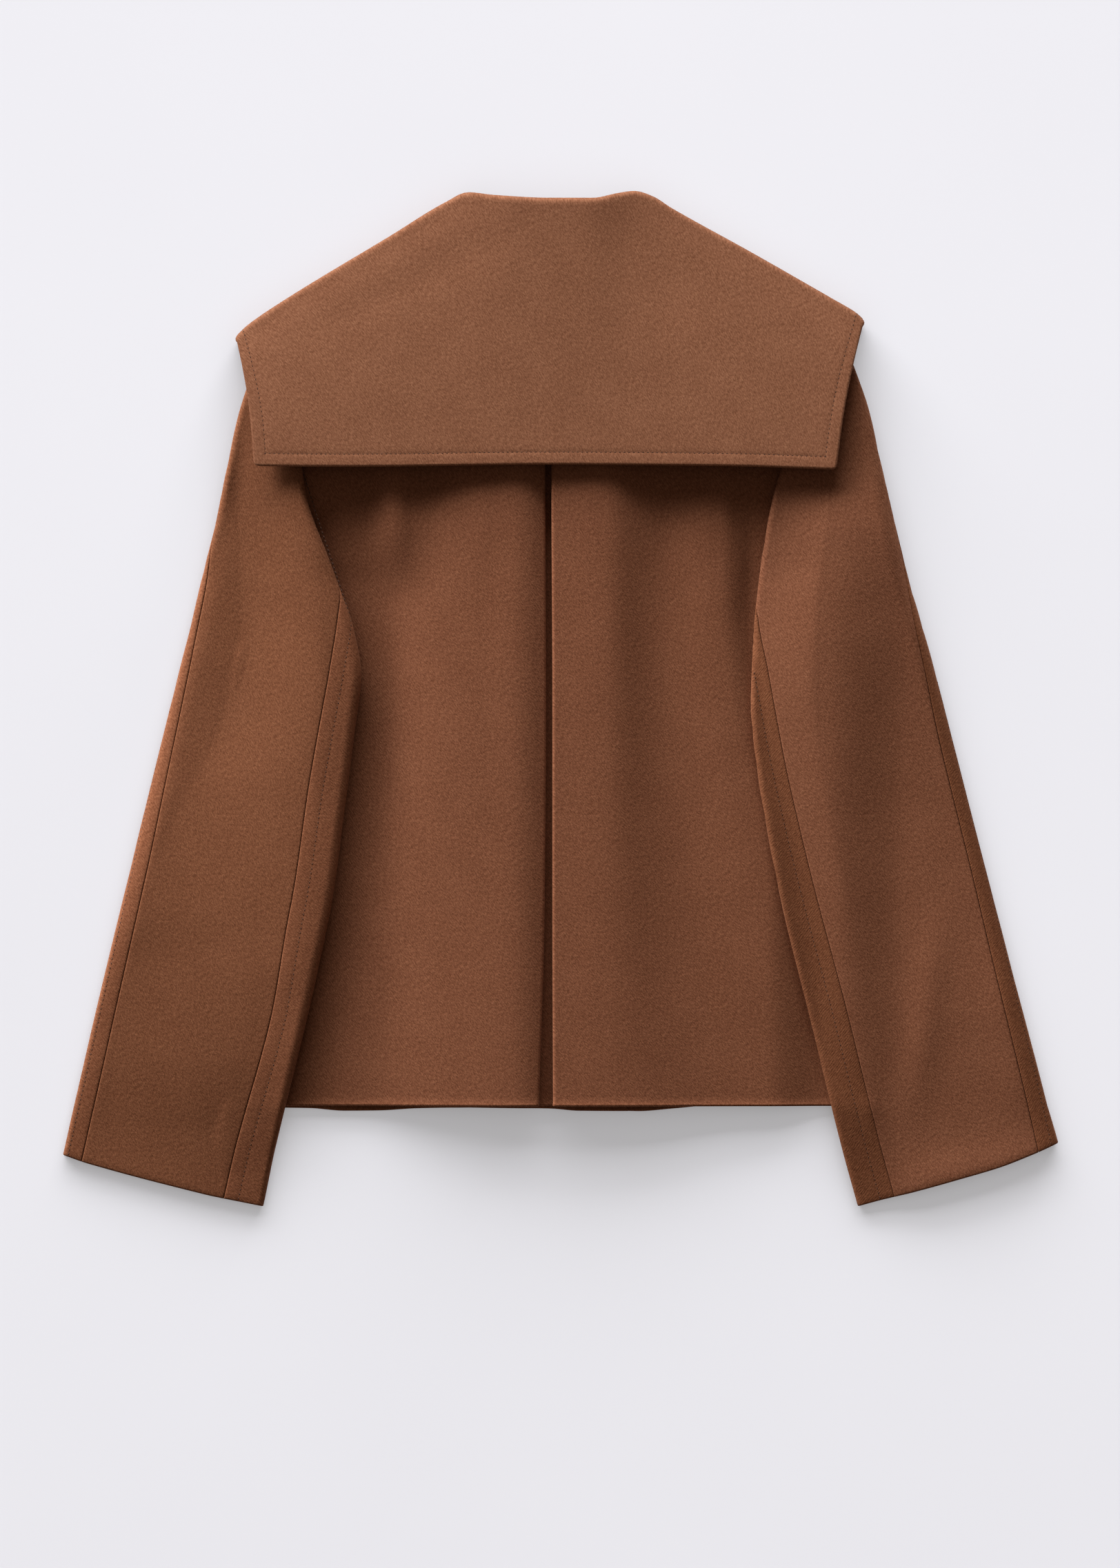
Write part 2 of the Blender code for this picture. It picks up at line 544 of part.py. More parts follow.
def sleeve(side):
    """Back panel between the two seams, and front panel round both edges and below."""
    rings = [SleeveSection(side, along) for along in SLEEVE_STATIONS]
    gap = SEAM_GAP / 2
    over = [r.spread(r.outer_seam + gap, r.inner_seam - gap, BACK_PANEL_POINTS) for r in rings]
    under = [r.spread(r.inner_seam + gap, 2 * r.half + r.outer_seam - gap, FRONT_PANEL_POINTS)
             for r in rings]
    for name, walks in (("sleeve_back_", over), ("sleeve_front_", under)):
        outside, inside = (
            np.array([[ring.point(w, out) for w in walk] for ring, walk in zip(rings, walks)])
            for out in (CLOTH / 2, -CLOTH / 2))
        panel(name + side, outside, inside)


def button(name, x, y):
    """Plain turned button, face down on the floor."""
    mesh = bpy.data.meshes.new(name)
    shape = bmesh.new()
    bmesh.ops.create_cone(shape, cap_ends=True, segments=18, radius1=BUTTON_RADIUS, radius2=BUTTON_RADIUS,
                          depth=BUTTON_THICK)
    rims = [e for e in shape.edges if abs(e.verts[0].co.z - e.verts[1].co.z) < 0.01]
    bmesh.ops.bevel(shape, geom=rims, offset=BUTTON_EDGE, segments=1, affect="EDGES")
    bmesh.ops.translate(shape, verts=shape.verts, vec=(0, 0, BUTTON_THICK / 2))
    bmesh.ops.scale(shape, verts=shape.verts, vec=(METRE, METRE, METRE))
    shape.to_mesh(mesh)
    shape.free()
    piece = finish(name, mesh, HORN, 0.4)
    piece.location = ((x + CENTRE_BACK_X) * METRE, y * METRE, 0.0)


back()
for side_name in SIDES:
    front(side_name)
    collar_leaf(side_name)
    sleeve(side_name)
    for order, button_y in enumerate(BUTTON_ROWS, start=1):
        button(f"button_{side_name}_{order}", SIDES[side_name] * BUTTON_COLUMN, button_y)
collar()
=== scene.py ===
import bpy
import numpy as np
from mathutils import Matrix, Vector


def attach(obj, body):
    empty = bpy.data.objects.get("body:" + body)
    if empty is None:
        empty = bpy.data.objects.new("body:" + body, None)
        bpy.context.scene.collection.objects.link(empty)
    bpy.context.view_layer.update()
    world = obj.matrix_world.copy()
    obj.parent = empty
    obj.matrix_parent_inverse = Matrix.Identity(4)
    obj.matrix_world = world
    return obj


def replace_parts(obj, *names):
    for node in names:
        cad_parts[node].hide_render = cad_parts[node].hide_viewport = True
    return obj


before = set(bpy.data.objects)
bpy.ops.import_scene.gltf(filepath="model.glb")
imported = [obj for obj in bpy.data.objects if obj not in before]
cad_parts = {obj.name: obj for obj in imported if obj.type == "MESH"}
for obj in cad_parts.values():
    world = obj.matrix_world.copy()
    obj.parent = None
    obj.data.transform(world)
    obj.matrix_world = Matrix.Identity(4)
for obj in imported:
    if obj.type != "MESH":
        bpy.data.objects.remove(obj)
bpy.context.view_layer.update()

mm = 0.001
print("frame:", len(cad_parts), "nodes")

# Double-breasted wool jacket laid face down. Sizes are millimetres, x from the centre back,
# y up to the neck, z above the floor; smoothMesh moves them into the frame in metres.
jacket = {
    "centreBack": -7.4,  # where the centre back lies in the frame
    "cloth": 2.0,
    "collarPly": 3.6,
    "edgeRound": 1.2,  # of a cut or turned edge
    "seamGap": 0.3,
    "layGap": 0.4,  # between layers that lie on each other
    "leafLift": 4.0,  # the collar's front leaves lift the fronts this far
    "leafBand": (28, 42),
    "leafRise": (82, 152),  # the body climbs onto them between these
    "side": ((-285, 214), (-120, 214), (-20, 211), (25, 206), (60, 190), (100, 179), (150, 179),
             (205, 183), (259, 188)),
    "shoulderTip": {"left": 250, "right": 259},
}
sides = {"left": -1, "right": 1}


def ramp(low, high, value):
    t = np.clip((np.asarray(value, float) - low) / (high - low), 0, 1)
    return t * t * (3 - 2 * t)


def curve(rows, where):
    # smooth line through rows of (place, value) that never overshoots them
    key, value = np.array(rows, float).T
    step = np.diff(key)
    rise = np.diff(value) / step
    before, after = rise[:-1], rise[1:]
    steady = before * after > 0
    slope = np.concatenate([rise[:1], np.zeros(len(key) - 2), rise[-1:]])
    slope[1:-1] = np.where(steady, 2 * before * after / np.where(steady, before + after, 1), 0)
    place = np.clip(np.asarray(where, float), key[0], key[-1])
    n = np.clip(np.searchsorted(key, place) - 1, 0, len(step) - 1)
    t = (place - key[n]) / step[n]
    return ((2 * t**3 - 3 * t**2 + 1) * value[n] + (t**3 - 2 * t**2 + t) * step[n] * slope[n]
            + (3 * t**2 - 2 * t**3) * value[n + 1] + (t**3 - t**2) * step[n] * slope[n + 1])


def curves(rows, where):
    # the same for rows of a place and several values
    key, *values = np.array(rows, float).T
    return [curve(np.stack([key, value], -1), where) for value in values]


def ladder(length, count, first, last):
    # places along lines of these lengths: given distances from both ends, even steps between
    length = np.atleast_1d(np.asarray(length, float))[:, None]
    first = np.array(first, float)[None, :] + 0 * length
    last = length - np.array(last[::-1], float)[None, :]
    share = np.linspace(0, 1, count + 2)[1:-1][None, :]
    return np.hstack([first, first[:, -1:] + share * (last[:, :1] - first[:, -1:]), last])


def creases(rows, x, y):
    # soft troughs and ridges that fade at their ends: start, end, half width and height of each
    lift = np.zeros(np.broadcast(x, y).shape)
    for x1, y1, x2, y2, width, height in rows:
        run = np.hypot(x2 - x1, y2 - y1)
        along = ((x - x1) * (x2 - x1) + (y - y1) * (y2 - y1)) / run**2
        off = ((x - x1) * (y2 - y1) - (y - y1) * (x2 - x1)) / run
        fade = ramp(-0.25, 0.3, along) * (1 - ramp(0.7, 1.25, along))
        lift += height * fade * np.exp(-(off / width)**2)
    return lift


def trough(size, away):
    # sunk line by the distance from it; a ridge where the depth is below 0
    depth, width = size
    return -depth * np.exp(-(away / width)**2)


# Shader maths as expressions on sockets
class Wire:
    def __init__(self, tree, socket):
        self.tree, self.socket = tree, socket

    def node(self, kind, settings=None, out=0, **inputs):
        made = self.tree.nodes.new(kind)
        for name, value in (settings or {}).items():
            if name == "stops":
                for n, (place, colour) in enumerate(value):
                    stop = made.color_ramp.elements[n] if n < 2 else made.color_ramp.elements.new(place)
                    stop.position, stop.color = place, (*colour, 1)
            else:
                setattr(made, name, value)
        for name, value in inputs.items():
            at = int(name[2:]) if name.startswith("in") else name
            if isinstance(value, Wire):
                self.tree.links.new(value.socket, made.inputs[at])
            else:
                made.inputs[at].default_value = value
        return Wire(self.tree, made.outputs[out])

    def into(self, shader, name):
        self.tree.links.new(self.socket, shader.inputs[name])

    def maths(self, operation, a, b=0.0):
        return self.node("ShaderNodeMath", {"operation": operation}, in0=a, in1=b)

    def __add__(self, other):
        return self.maths("ADD", self, other)

    def __sub__(self, other):
        return self.maths("SUBTRACT", self, other)

    def __rsub__(self, other):
        return self.maths("SUBTRACT", other, self)

    def __mul__(self, other):
        return self.maths("MULTIPLY", self, other)

    __radd__, __rmul__ = __add__, __mul__


def newMaterial(name, finish):
    # finish: what is the same all over the surface
    made = bpy.data.materials.new(name)
    made.use_nodes = True
    shader = made.node_tree.nodes["Principled BSDF"]
    for socket, value in finish.items():
        shader.inputs[socket].default_value = value
    return made, shader, Wire(made.node_tree, None)


def noise(vector, settings=None, **inputs):
    return vector.node("ShaderNodeTexNoise", settings, Vector=vector, **inputs)


def emboss(shader, kind, height):
    strength, depth = kind["bump"]
    height.node("ShaderNodeBump", Strength=strength, Distance=depth, Height=height).into(shader, "Normal")


def twoTone(kind, value):
    stops = tuple(zip(kind["stops"], (kind["dark"], kind["light"])))
    return value.node("ShaderNodeValToRGB", {"stops": stops}, in0=value)


wool = {
    "dark": (0.118, 0.0395, 0.0180),
    "main": (0.170, 0.0610, 0.0295),
    "light": (0.232, 0.0900, 0.0450),
    "stops": (0.18, 0.5, 0.84),  # where those three lie in the mixed shade
    "twill": {"pitch": 1.43, "wander": 5.0, "wanderScale": 0.22, "shade": 0.09, "relief": 0.13},
    "fleck": {"size": 0.9, "drawn": 0.42, "shade": 1.25, "relief": 0.9},  # mixed fibres
    "grain": {"scale": 0.36, "shade": 0.55, "relief": 0.2},
    "cloud": {"size": 26.0, "shade": 0.18},  # broad, faint patches
    "rough": (0.86, 0.25),  # mean, change with the fibres
    "bump": (0.42, 0.0005),  # strength, metres
    "finish": {"Specular IOR Level": 0.03, "Sheen Weight": 0.10, "Sheen Roughness": 0.55,
               "Sheen Tint": (1.0, 0.50, 0.30, 1)},
    "cuts": {  # turn of the twill in degrees, tone of the piece: partly the cloth's own colour, partly painted light and shade that brightens or dims each piece
        "woolBody": (33, (1.06, 1.11, 1.20)),
        "woolCollar": (33, (1.26, 1.47, 1.66)),
        "woolSleeveLeft": (27, (0.98, 1.03, 1.05)),
        "woolSleeveRight": (33, (1.10, 1.17, 1.29)),
        # the left under panel is lighter than its sleeve's upper panel: painted light that brightens the
        # left sleeve's outer band
        "woolUnderLeft": (52, (1.05, 1.08, 1.11)),
        "woolUnderRight": (52, (0.93, 0.94, 0.92)),
    },
}


def woolMaterial(name, twillTurn, toneAndPaintedLight):
    # milled wool twill on the piece's own cut: twill lines, mixed fibres, faint patches, felted nap
    twill, fleck, grain, cloud = (wool[k] for k in ("twill", "fleck", "grain", "cloud"))
    made, shader, w = newMaterial(name, wool["finish"])
    plane = {"noise_dimensions": "2D"}
    cut = w.node("ShaderNodeUVMap", {"uv_map": "cut"})
    flat = w.node("ShaderNodeVectorMath", {"operation": "SCALE"}, in0=cut, Scale=1 / mm)
    turned = w.node("ShaderNodeVectorRotate", {"rotation_type": "Z_AXIS"}, Vector=flat,
                    Angle=-np.radians(twillTurn))
    wander = noise(turned, plane, Scale=twill["wanderScale"], Detail=2.0)
    across = w.node("ShaderNodeSeparateXYZ", in0=turned)
    along = Wire(across.tree, across.socket.node.outputs["Y"])
    phase = across * (2 * np.pi / twill["pitch"]) + (wander - 0.5) * twill["wander"]
    wave = w.maths("SINE", phase) * 0.5 + 0.5
    drawn = w.node("ShaderNodeCombineXYZ", in0=across, in1=along * fleck["drawn"])
    fibres = noise(drawn, plane, Scale=1 / fleck["size"], Detail=3.0, Roughness=0.62)
    grains = noise(flat, plane, Scale=grain["scale"], Detail=3.0, Roughness=0.6)
    clouds = noise(flat, plane, Scale=1 / cloud["size"], Detail=2.0)
    shade = (0.5 + (fibres - 0.5) * fleck["shade"] + (grains - 0.5) * grain["shade"]
             + (clouds - 0.5) * cloud["shade"] + (wave - 0.5) * twill["shade"])
    # the piece's tone scales these colours: partly its own colour, partly painted light and shade
    dark, main, light = (tuple(np.multiply(wool[k], toneAndPaintedLight)) for k in ("dark", "main", "light"))
    low, middle, high = wool["stops"]
    stops = (low, dark), (high, light), (middle, main)
    w.node("ShaderNodeValToRGB", {"stops": stops}, in0=shade).into(shader, "Base Color")
    rough, change = wool["rough"]
    (rough + (fibres - 0.5) * change).into(shader, "Roughness")
    emboss(shader, wool, wave * twill["relief"] + fibres * fleck["relief"] + grains * grain["relief"])
    return made


thread = {
    "dark": (0.0312, 0.0120, 0.0060),
    "light": (0.0884, 0.0340, 0.0170),
    "stops": (0.25, 0.75),
    "lay": 0.35,  # millimetres between the thread's plies
    "bump": (0.4, 0.0002),
    "finish": {"Roughness": 0.7, "Specular IOR Level": 0.2, "Sheen Weight": 0.1},
}


def threadMaterial():
    made, shader, w = newMaterial("topstitchThread", thread["finish"])
    place = w.node("ShaderNodeTexCoord", out="Object")
    flat = w.node("ShaderNodeVectorMath", {"operation": "SCALE"}, in0=place, Scale=1 / mm)
    fuzz = noise(flat, Scale=1 / thread["lay"], Detail=2.0)
    twoTone(thread, fuzz).into(shader, "Base Color")
    emboss(shader, thread, fuzz)
    return made


horn = {
    "dark": (0.012, 0.006, 0.004),
    "light": (0.075, 0.034, 0.016),
    "stops": (0.3, 0.75),
    "streak": 5.5,  # millimetres across a streak
    "drawn": 0.26,  # the streaks run along y
    "rough": (0.28, 0.2),
    "finish": {"Specular IOR Level": 0.5},
}


def hornMaterial():
    made, shader, w = newMaterial("buttonHorn", horn["finish"])
    place = w.node("ShaderNodeTexCoord", out="Object")
    flat = w.node("ShaderNodeVectorMath", {"operation": "MULTIPLY"}, in0=place,
                  in1=(1 / mm, horn["drawn"] / mm, 1 / mm))
    streak = noise(flat, Scale=1 / horn["streak"], Detail=5.0, Distortion=1.2)
    twoTone(horn, streak).into(shader, "Base Color")
    rough, change = horn["rough"]
    (rough + streak * change).into(shader, "Roughness")
    return made


paleFloor = {
    "dark": (0.272, 0.275, 0.306),
    "light": (0.282, 0.285, 0.316),
    "stops": (0.2, 0.8),
    "mottle": 3.0,  # patches in a metre
    "finish": {"Roughness": 0.95, "Specular IOR Level": 0.25, "Emission Strength": 1.0,
               "Emission Color": (0.226, 0.223, 0.222, 1)},  # a little light of its own
}


def floorMaterial():
    made, shader, w = newMaterial("paleFloor", paleFloor["finish"])
    place = w.node("ShaderNodeTexCoord", out="Object")
    mottle = noise(place, Scale=paleFloor["mottle"], Detail=3.0)
    twoTone(paleFloor, mottle).into(shader, "Base Color")
    return made


def addObject(name, data):
    made = bpy.data.objects.new(name, data)
    bpy.context.scene.collection.objects.link(made)
    return made


def addPiece(name, mesh):
    piece = addObject(name, mesh)
    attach(piece, "root")
    return piece


def smoothMesh(name, points, faces, material):
    mesh = bpy.data.meshes.new(name)
    inFrame = (points + np.array((jacket["centreBack"], 0, 0))) * mm
    mesh.from_pydata(inFrame.tolist(), [], faces)
    mesh.shade_smooth()
    mesh.materials.append(material)
    return mesh


# A cloth panel as a closed shell round the grid of its middle, with rounded edges
roundEdge = (0, 0.12, 0.36, 0.72, 1.2)  # steps in from such an edge


def borders(mid):
    # distance of each point from the first and last row and the first and last column
    down = np.linalg.norm(np.diff(mid, axis=0), axis=2).cumsum(axis=0)
    over = np.linalg.norm(np.diff(mid, axis=1), axis=2).cumsum(axis=1)
    down = np.vstack([np.zeros((1, mid.shape[1])), down])
    over = np.hstack([np.zeros((mid.shape[0], 1)), over])
    return down, down[-1:] - down, over, over[:, -1:] - over


def facing(mid):
    normal = np.cross(np.gradient(mid, axis=1), np.gradient(mid, axis=0))
    return normal / np.maximum(np.linalg.norm(normal, axis=2, keepdims=True), 1e-9)


def clothShell(name, mid, cut, material, relief=0, ply=jacket["cloth"], edges=(jacket["edgeRound"],) * 4):
    # edges: rounding at the four borders
    mid = mid + facing(mid) * np.asarray(relief)[..., None]
    normal = facing(mid)
    half = np.full(mid.shape[:2], ply / 2)
    for away, rounding in zip(borders(mid), edges):
        half = np.minimum(half, ply / 2 * np.sqrt(1 - (1 - np.clip(away / rounding, 0, 1))**2))
    rows, columns = half.shape
    upper = np.arange(rows * columns).reshape(rows, columns)
    lower = upper.copy()
    inside = np.arange((rows - 2) * (columns - 2)).reshape(rows - 2, columns - 2)
    lower[1:-1, 1:-1] = rows * columns + inside
    top = mid + normal * half[:, :, None]
    under = (mid - normal * half[:, :, None])[1:-1, 1:-1]
    points = np.concatenate([top.reshape(-1, 3), under.reshape(-1, 3)])

    def quads(number):
        corners = number[:-1, :-1], number[:-1, 1:], number[1:, 1:], number[1:, :-1]
        return np.stack(corners, -1).reshape(-1, 4)

    faces = np.concatenate([quads(upper), quads(lower)[:, ::-1]])
    mesh = smoothMesh(name, points, faces.tolist(), material)
    flat = np.concatenate([cut.reshape(-1, 2), cut[1:-1, 1:-1].reshape(-1, 2)]) * mm
    mesh.uv_layers.new(name="cut").data.foreach_set("uv", flat[faces].astype(np.float32).ravel())
    corner = mid[:-1, :-1]
    spans = np.cross(mid[1:, :-1] - corner, mid[:-1, 1:] - corner)
    area = np.linalg.norm(spans, axis=2).sum() * mm * mm
    print(name, "shell:", len(faces) * 2, "triangles,", round(area, 4), "square metres")
    return {"piece": addPiece(name, mesh), "top": top, "normal": normal, "borders": borders(mid),
            "area": area}


# Body: one pleated back on two fronts that overlap at the centre
pleatLip = ((0, 11.6), (3, 12.3), (7, 13.4), (11, 14.4), (15, 15.1), (19, 15.5), (23, 15.7), (30, 15.5))
back = {
    "hem": -281,
    "hemSteps": roundEdge + (1.8, 2.6),
    "hemFirm": (0.28, 1.0, 2.8),  # rise of the turned hem's edge, and where it fades
    "levelTop": 152,  # rows are level up to here, then run up to the top edge
    "topSteps": (0, 0.005, 0.015),
    "top": ((-188, 250), (-64, 322), (-30, 313), (0, 309), (30, 313), (64, 323), (188, 259)),
    "sideSteps": roundEdge + (3, 5),
    "foldSteps": (0, 0.8, 1.8, 3.2, 5, 7),
    "rows": (100, 40),  # level ones, ones above
    "columns": 62,
    "layerColumns": 12,  # of the pleat's hidden layers
    "turnPoints": (9, 7),  # round the outer and the inner fold
    "pleatDepth": 47,  # from the centre to the inner folds of the box pleat
    "neckDepth": 28,
    "foldReach": 0.3,
    "innerFold": 1.6,
    "pleatTaper": (160, 309),
    # heights by the distance from the centre
    "left": pleatLip + ((40, 14.9), (50, 14.4), (58, 13.9), (66, 13.2), (74, 12.3), (82, 11.1), (90, 9.5),
                        (97, 7.8), (104, 6.0), (111, 4.7), (122, 4.0), (175, 3.6)),
    "leftHem": pleatLip + ((40, 14.8), (49, 14.0), (57, 13.1), (70, 11.5), (82, 9.9), (92, 8.4), (99, 7.2),
                           (106, 6.0), (113, 5.0), (122, 4.3), (132, 3.9), (175, 3.6)),
    "hemFrom": (-40, -190),  # the left slope grows gentler down there
    "right": ((0, 15.4), (10, 15.6), (31, 16.1), (39, 16.0), (45, 15.5), (51, 14.4), (57, 12.9), (63, 11.4),
              (69, 10.2), (75, 9.4), (82, 9.0), (91, 9.1), (101, 9.7), (111, 10.2), (119, 10.1), (125, 9.2),
              (130, 7.5), (134, 5.7), (138, 4.3), (160, 3.6)),
    "shoulder": ((0, 11.4), (12, 11.8), (28, 12.0), (40, 11.6), (52, 10.4), (66, 9.2), (84, 8.5),
                 (100, 8.2), (150, 8.2)),
    "sideLevel": 3.6,  # under the sleeves
    "sideFrom": (150, 190),
    "flankStart": 36,  # the slope right of the pleat widens towards the hem
    "flankWider": ((-281, 1.4), (-232, 1.0), (-185, 0.62), (-137, 0.43), (-90, 0.3), (-40, 0.16),
                   (10, 0.06), (60, 0), (323, 0)),
    "pleatEdge": {"left": ((-281, -7.1), (-150, -3.2), (0, -2.1), (150, -2.6), (323, -2.4)),
                  "right": ((-281, 2.6), (-150, 2.2), (0, 2.2), (150, 1.5), (323, 1.6))},
    "creases": ((-110, 190, -104, 92, 14, 5.4), (-76, 175, -80, 80, 11, -0.5),
                (-46, 175, -44, 95, 10, 0.4), (84, 165, 82, 95, 12, -0.5)),
    "flat": (0.62, 0.605),
}
front = {
    "hem": -281,
    # how far the hem shows below the back's, by x
    "peek": ((-214, 1.0), (-165, 1.6), (-141, 3.4), (-117, 3.2), (-90, 1.6), (-60, 1.0), (-30, 1.4),
             (0, 1.8), (20, 3.2), (60, 3.4), (85, 1.6), (115, -0.6), (214, -0.8)),
    "peekReach": 90,
    "rows": (56, 20),
    "columns": 84,
    "overlap": 54,  # how far each front passes the centre
    # height over the buttons, by the distance from the centre
    "buttonBand": ((0, 0), (8, 0), (20, 3.4), (48, 3.4), (56, 2.2), (70, 0), (240, 0)),
    "underEdge": (-72, -56),  # the left front climbs onto the right one's edge
    "below": 6.4,  # beside the pleat it follows the back this far below
    "carry": ((46, 68), (135, 155)),
    "top": ((-54, 205), (-40, 222), (0, 245), (40, 286), (64, 318), (188, 254)),
    "flat": (0.31, 0.605),
}


def underCollar(y):
    return np.interp(y, jacket["leafRise"], (0, 1))


def pleatLoft(y):
    return 1 - ramp(*back["pleatTaper"], y)


def backLevel(x, y):
    # middle of the back's top layer
    across = np.abs(x)
    past = np.maximum(across - back["flankStart"], 0)
    right = curve(back["right"], across - past + past / (1 + curve(back["flankWider"], y)))
    gentle = ramp(*back["hemFrom"], y)
    left = (1 - gentle) * curve(back["left"], across) + gentle * curve(back["leftHem"], across)
    level = np.where(x < 0, left, right)
    level = level + (back["sideLevel"] - level) * ramp(*back["sideFrom"], across)
    shoulder = curve(back["shoulder"], across)
    above = level - shoulder
    lifted = shoulder + np.maximum(above, 0) * pleatLoft(y) + np.minimum(above, 0) * (1 - underCollar(y))
    return lifted + creases(back["creases"], x, y)


def frontBase(x, y):
    # underside of the outer front: on the floor, over buttons or leaves, or close below the back
    across = np.abs(x)
    overButtons = np.interp(across, *np.array(front["buttonBand"]).T)
    overLeaves = jacket["leafLift"] * np.interp(across, jacket["leafBand"], (0, 1))
    lifted = overButtons + (overLeaves - overButtons) * underCollar(y)
    carried = ramp(*front["carry"][0], across) * (1 - ramp(*front["carry"][1], across))
    return np.maximum(lifted, (backLevel(x, y) - front["below"]) * carried)


def underlayLevel(x, y):
    return frontBase(x, y) + 2 * (jacket["cloth"] + jacket["layGap"]) + jacket["cloth"] / 2


def middleLevel(x, y):
    under = underlayLevel(x, y)
    return under + 0.5 * (backLevel(x, y) - under)


def bodyRows(piece):
    # level rows from the hem, then shares of the way up for rows that follow the top edge
    count, topCount = piece["rows"]
    level = ladder(back["levelTop"] - piece["hem"], count, back["hemSteps"], (0,))[0] + piece["hem"]
    share = ladder(1.0, topCount, (0,), back["topSteps"])[0][1:]
    return level, share


def rowPlaces(level, share, top):
    # y of every row of a column that ends at top
    climb = back["levelTop"] + share[:, None] * (np.asarray(top, float)[None, :] - back["levelTop"])
    return np.vstack([level[:, None] + np.zeros((1, climb.shape[1])), climb])


def sideEdge(side, level, share):
    return curve(jacket["side"], rowPlaces(level, share, [jacket["shoulderTip"][side]])[:, 0])


def roundFold(extreme, y, high, low, towards, points):
    # pressed fold between two layers, seen end on, that bulges towards +x or -x
    radius = (high - low) / 2
    turn = np.linspace(np.pi / 2, -np.pi / 2, points)[None, 1:-1]
    x = extreme[:, None] + towards * np.minimum(radius, back["foldReach"])[:, None] * (np.cos(turn) - 1)
    return x, y, (high + low)[:, None] / 2 + radius[:, None] * np.sin(turn)


def backHalf(side, level, share):
    # x, y and z of one half's rows, from the side seam through the pleat to the centre
    sign = sides[side]
    centreY = rowPlaces(level, share, [curve(back["top"], 0.0)])
    atCentre = centreY[:, 0]
    half = sideEdge(side, level, share)
    edge = curve(back["pleatEdge"][side], atCentre)
    depth = back["neckDepth"] + (back["pleatDepth"] - back["neckDepth"]) * pleatLoft(atCentre)
    high, low = backLevel(edge, atCentre), middleLevel(edge, atCentre)
    start = np.abs(edge) + jacket["cloth"] / 2 + np.minimum((high - low) / 2, back["foldReach"])
    across = half[:, None] - ladder(half - start, back["columns"], back["sideSteps"], back["foldSteps"])
    y = rowPlaces(level, share, curve(back["top"], sign * across[-1]))
    x = sign * across
    parts = [(x, y, backLevel(x, y))]
    outerTurn, innerTurn = back["turnPoints"]
    parts.append(roundFold(edge + sign * jacket["cloth"] / 2, centreY, high, low, -sign, outerTurn))
    inner = sign * depth
    turnIn = depth - back["innerFold"]
    share = np.linspace(0, 1, back["layerColumns"])[None, :]
    middleX = sign * (start[:, None] + share * (turnIn - start)[:, None])
    parts.append((middleX, centreY, middleLevel(middleX, centreY)))
    high, low = middleLevel(inner, atCentre), underlayLevel(inner, atCentre)
    parts.append(roundFold(inner, centreY, high, low, sign, innerTurn))
    underX = sign * turnIn[:, None] * np.linspace(1, 0, back["layerColumns"] - 1)[None, :-1]
    parts.append((underX, centreY, underlayLevel(underX, centreY)))
    return np.concatenate([np.stack(np.broadcast_arrays(*part), -1) for part in parts], axis=1)


def buildBack(material):
    level, share = bodyRows(back)
    left, right = backHalf("left", level, share), backHalf("right", level, share)
    centreY = rowPlaces(level, share, [curve(back["top"], 0.0)])
    centre = np.stack([0 * centreY, centreY, underlayLevel(0 * centreY, centreY)], -1)
    mid = np.concatenate([left, centre, right[:, ::-1]], axis=1)
    hem, _, over = borders(mid)[:3]
    cut = np.stack([over + mid[:, :1, 0], mid[:, :, 1]], -1)
    rise, near, far = back["hemFirm"]
    return clothShell("backPanel", mid, cut, material, rise * (1 - ramp(near, far, hem)))


def buildFront(side, material):
    sign = sides[side]
    level, share = bodyRows(front)
    half = sideEdge(side, level, share)
    across = half[:, None] - ladder(half + front["overlap"], front["columns"], roundEdge, roundEdge)
    x = sign * across
    y = rowPlaces(level, share, curve(front["top"], across[-1]))
    y = y - curve(front["peek"], x) * (1 - ramp(0, front["peekReach"], y - front["hem"]))
    z = frontBase(x, y) + jacket["cloth"] / 2
    if side == "left":
        z = z + (jacket["cloth"] + jacket["layGap"]) * ramp(*front["underEdge"], x)
    mid = np.stack([x, y, z], -1)
    cut = np.stack([borders(mid)[2], mid[:, :, 1]], -1)
    return clothShell("frontPanel" + side.title(), mid, cut, material)


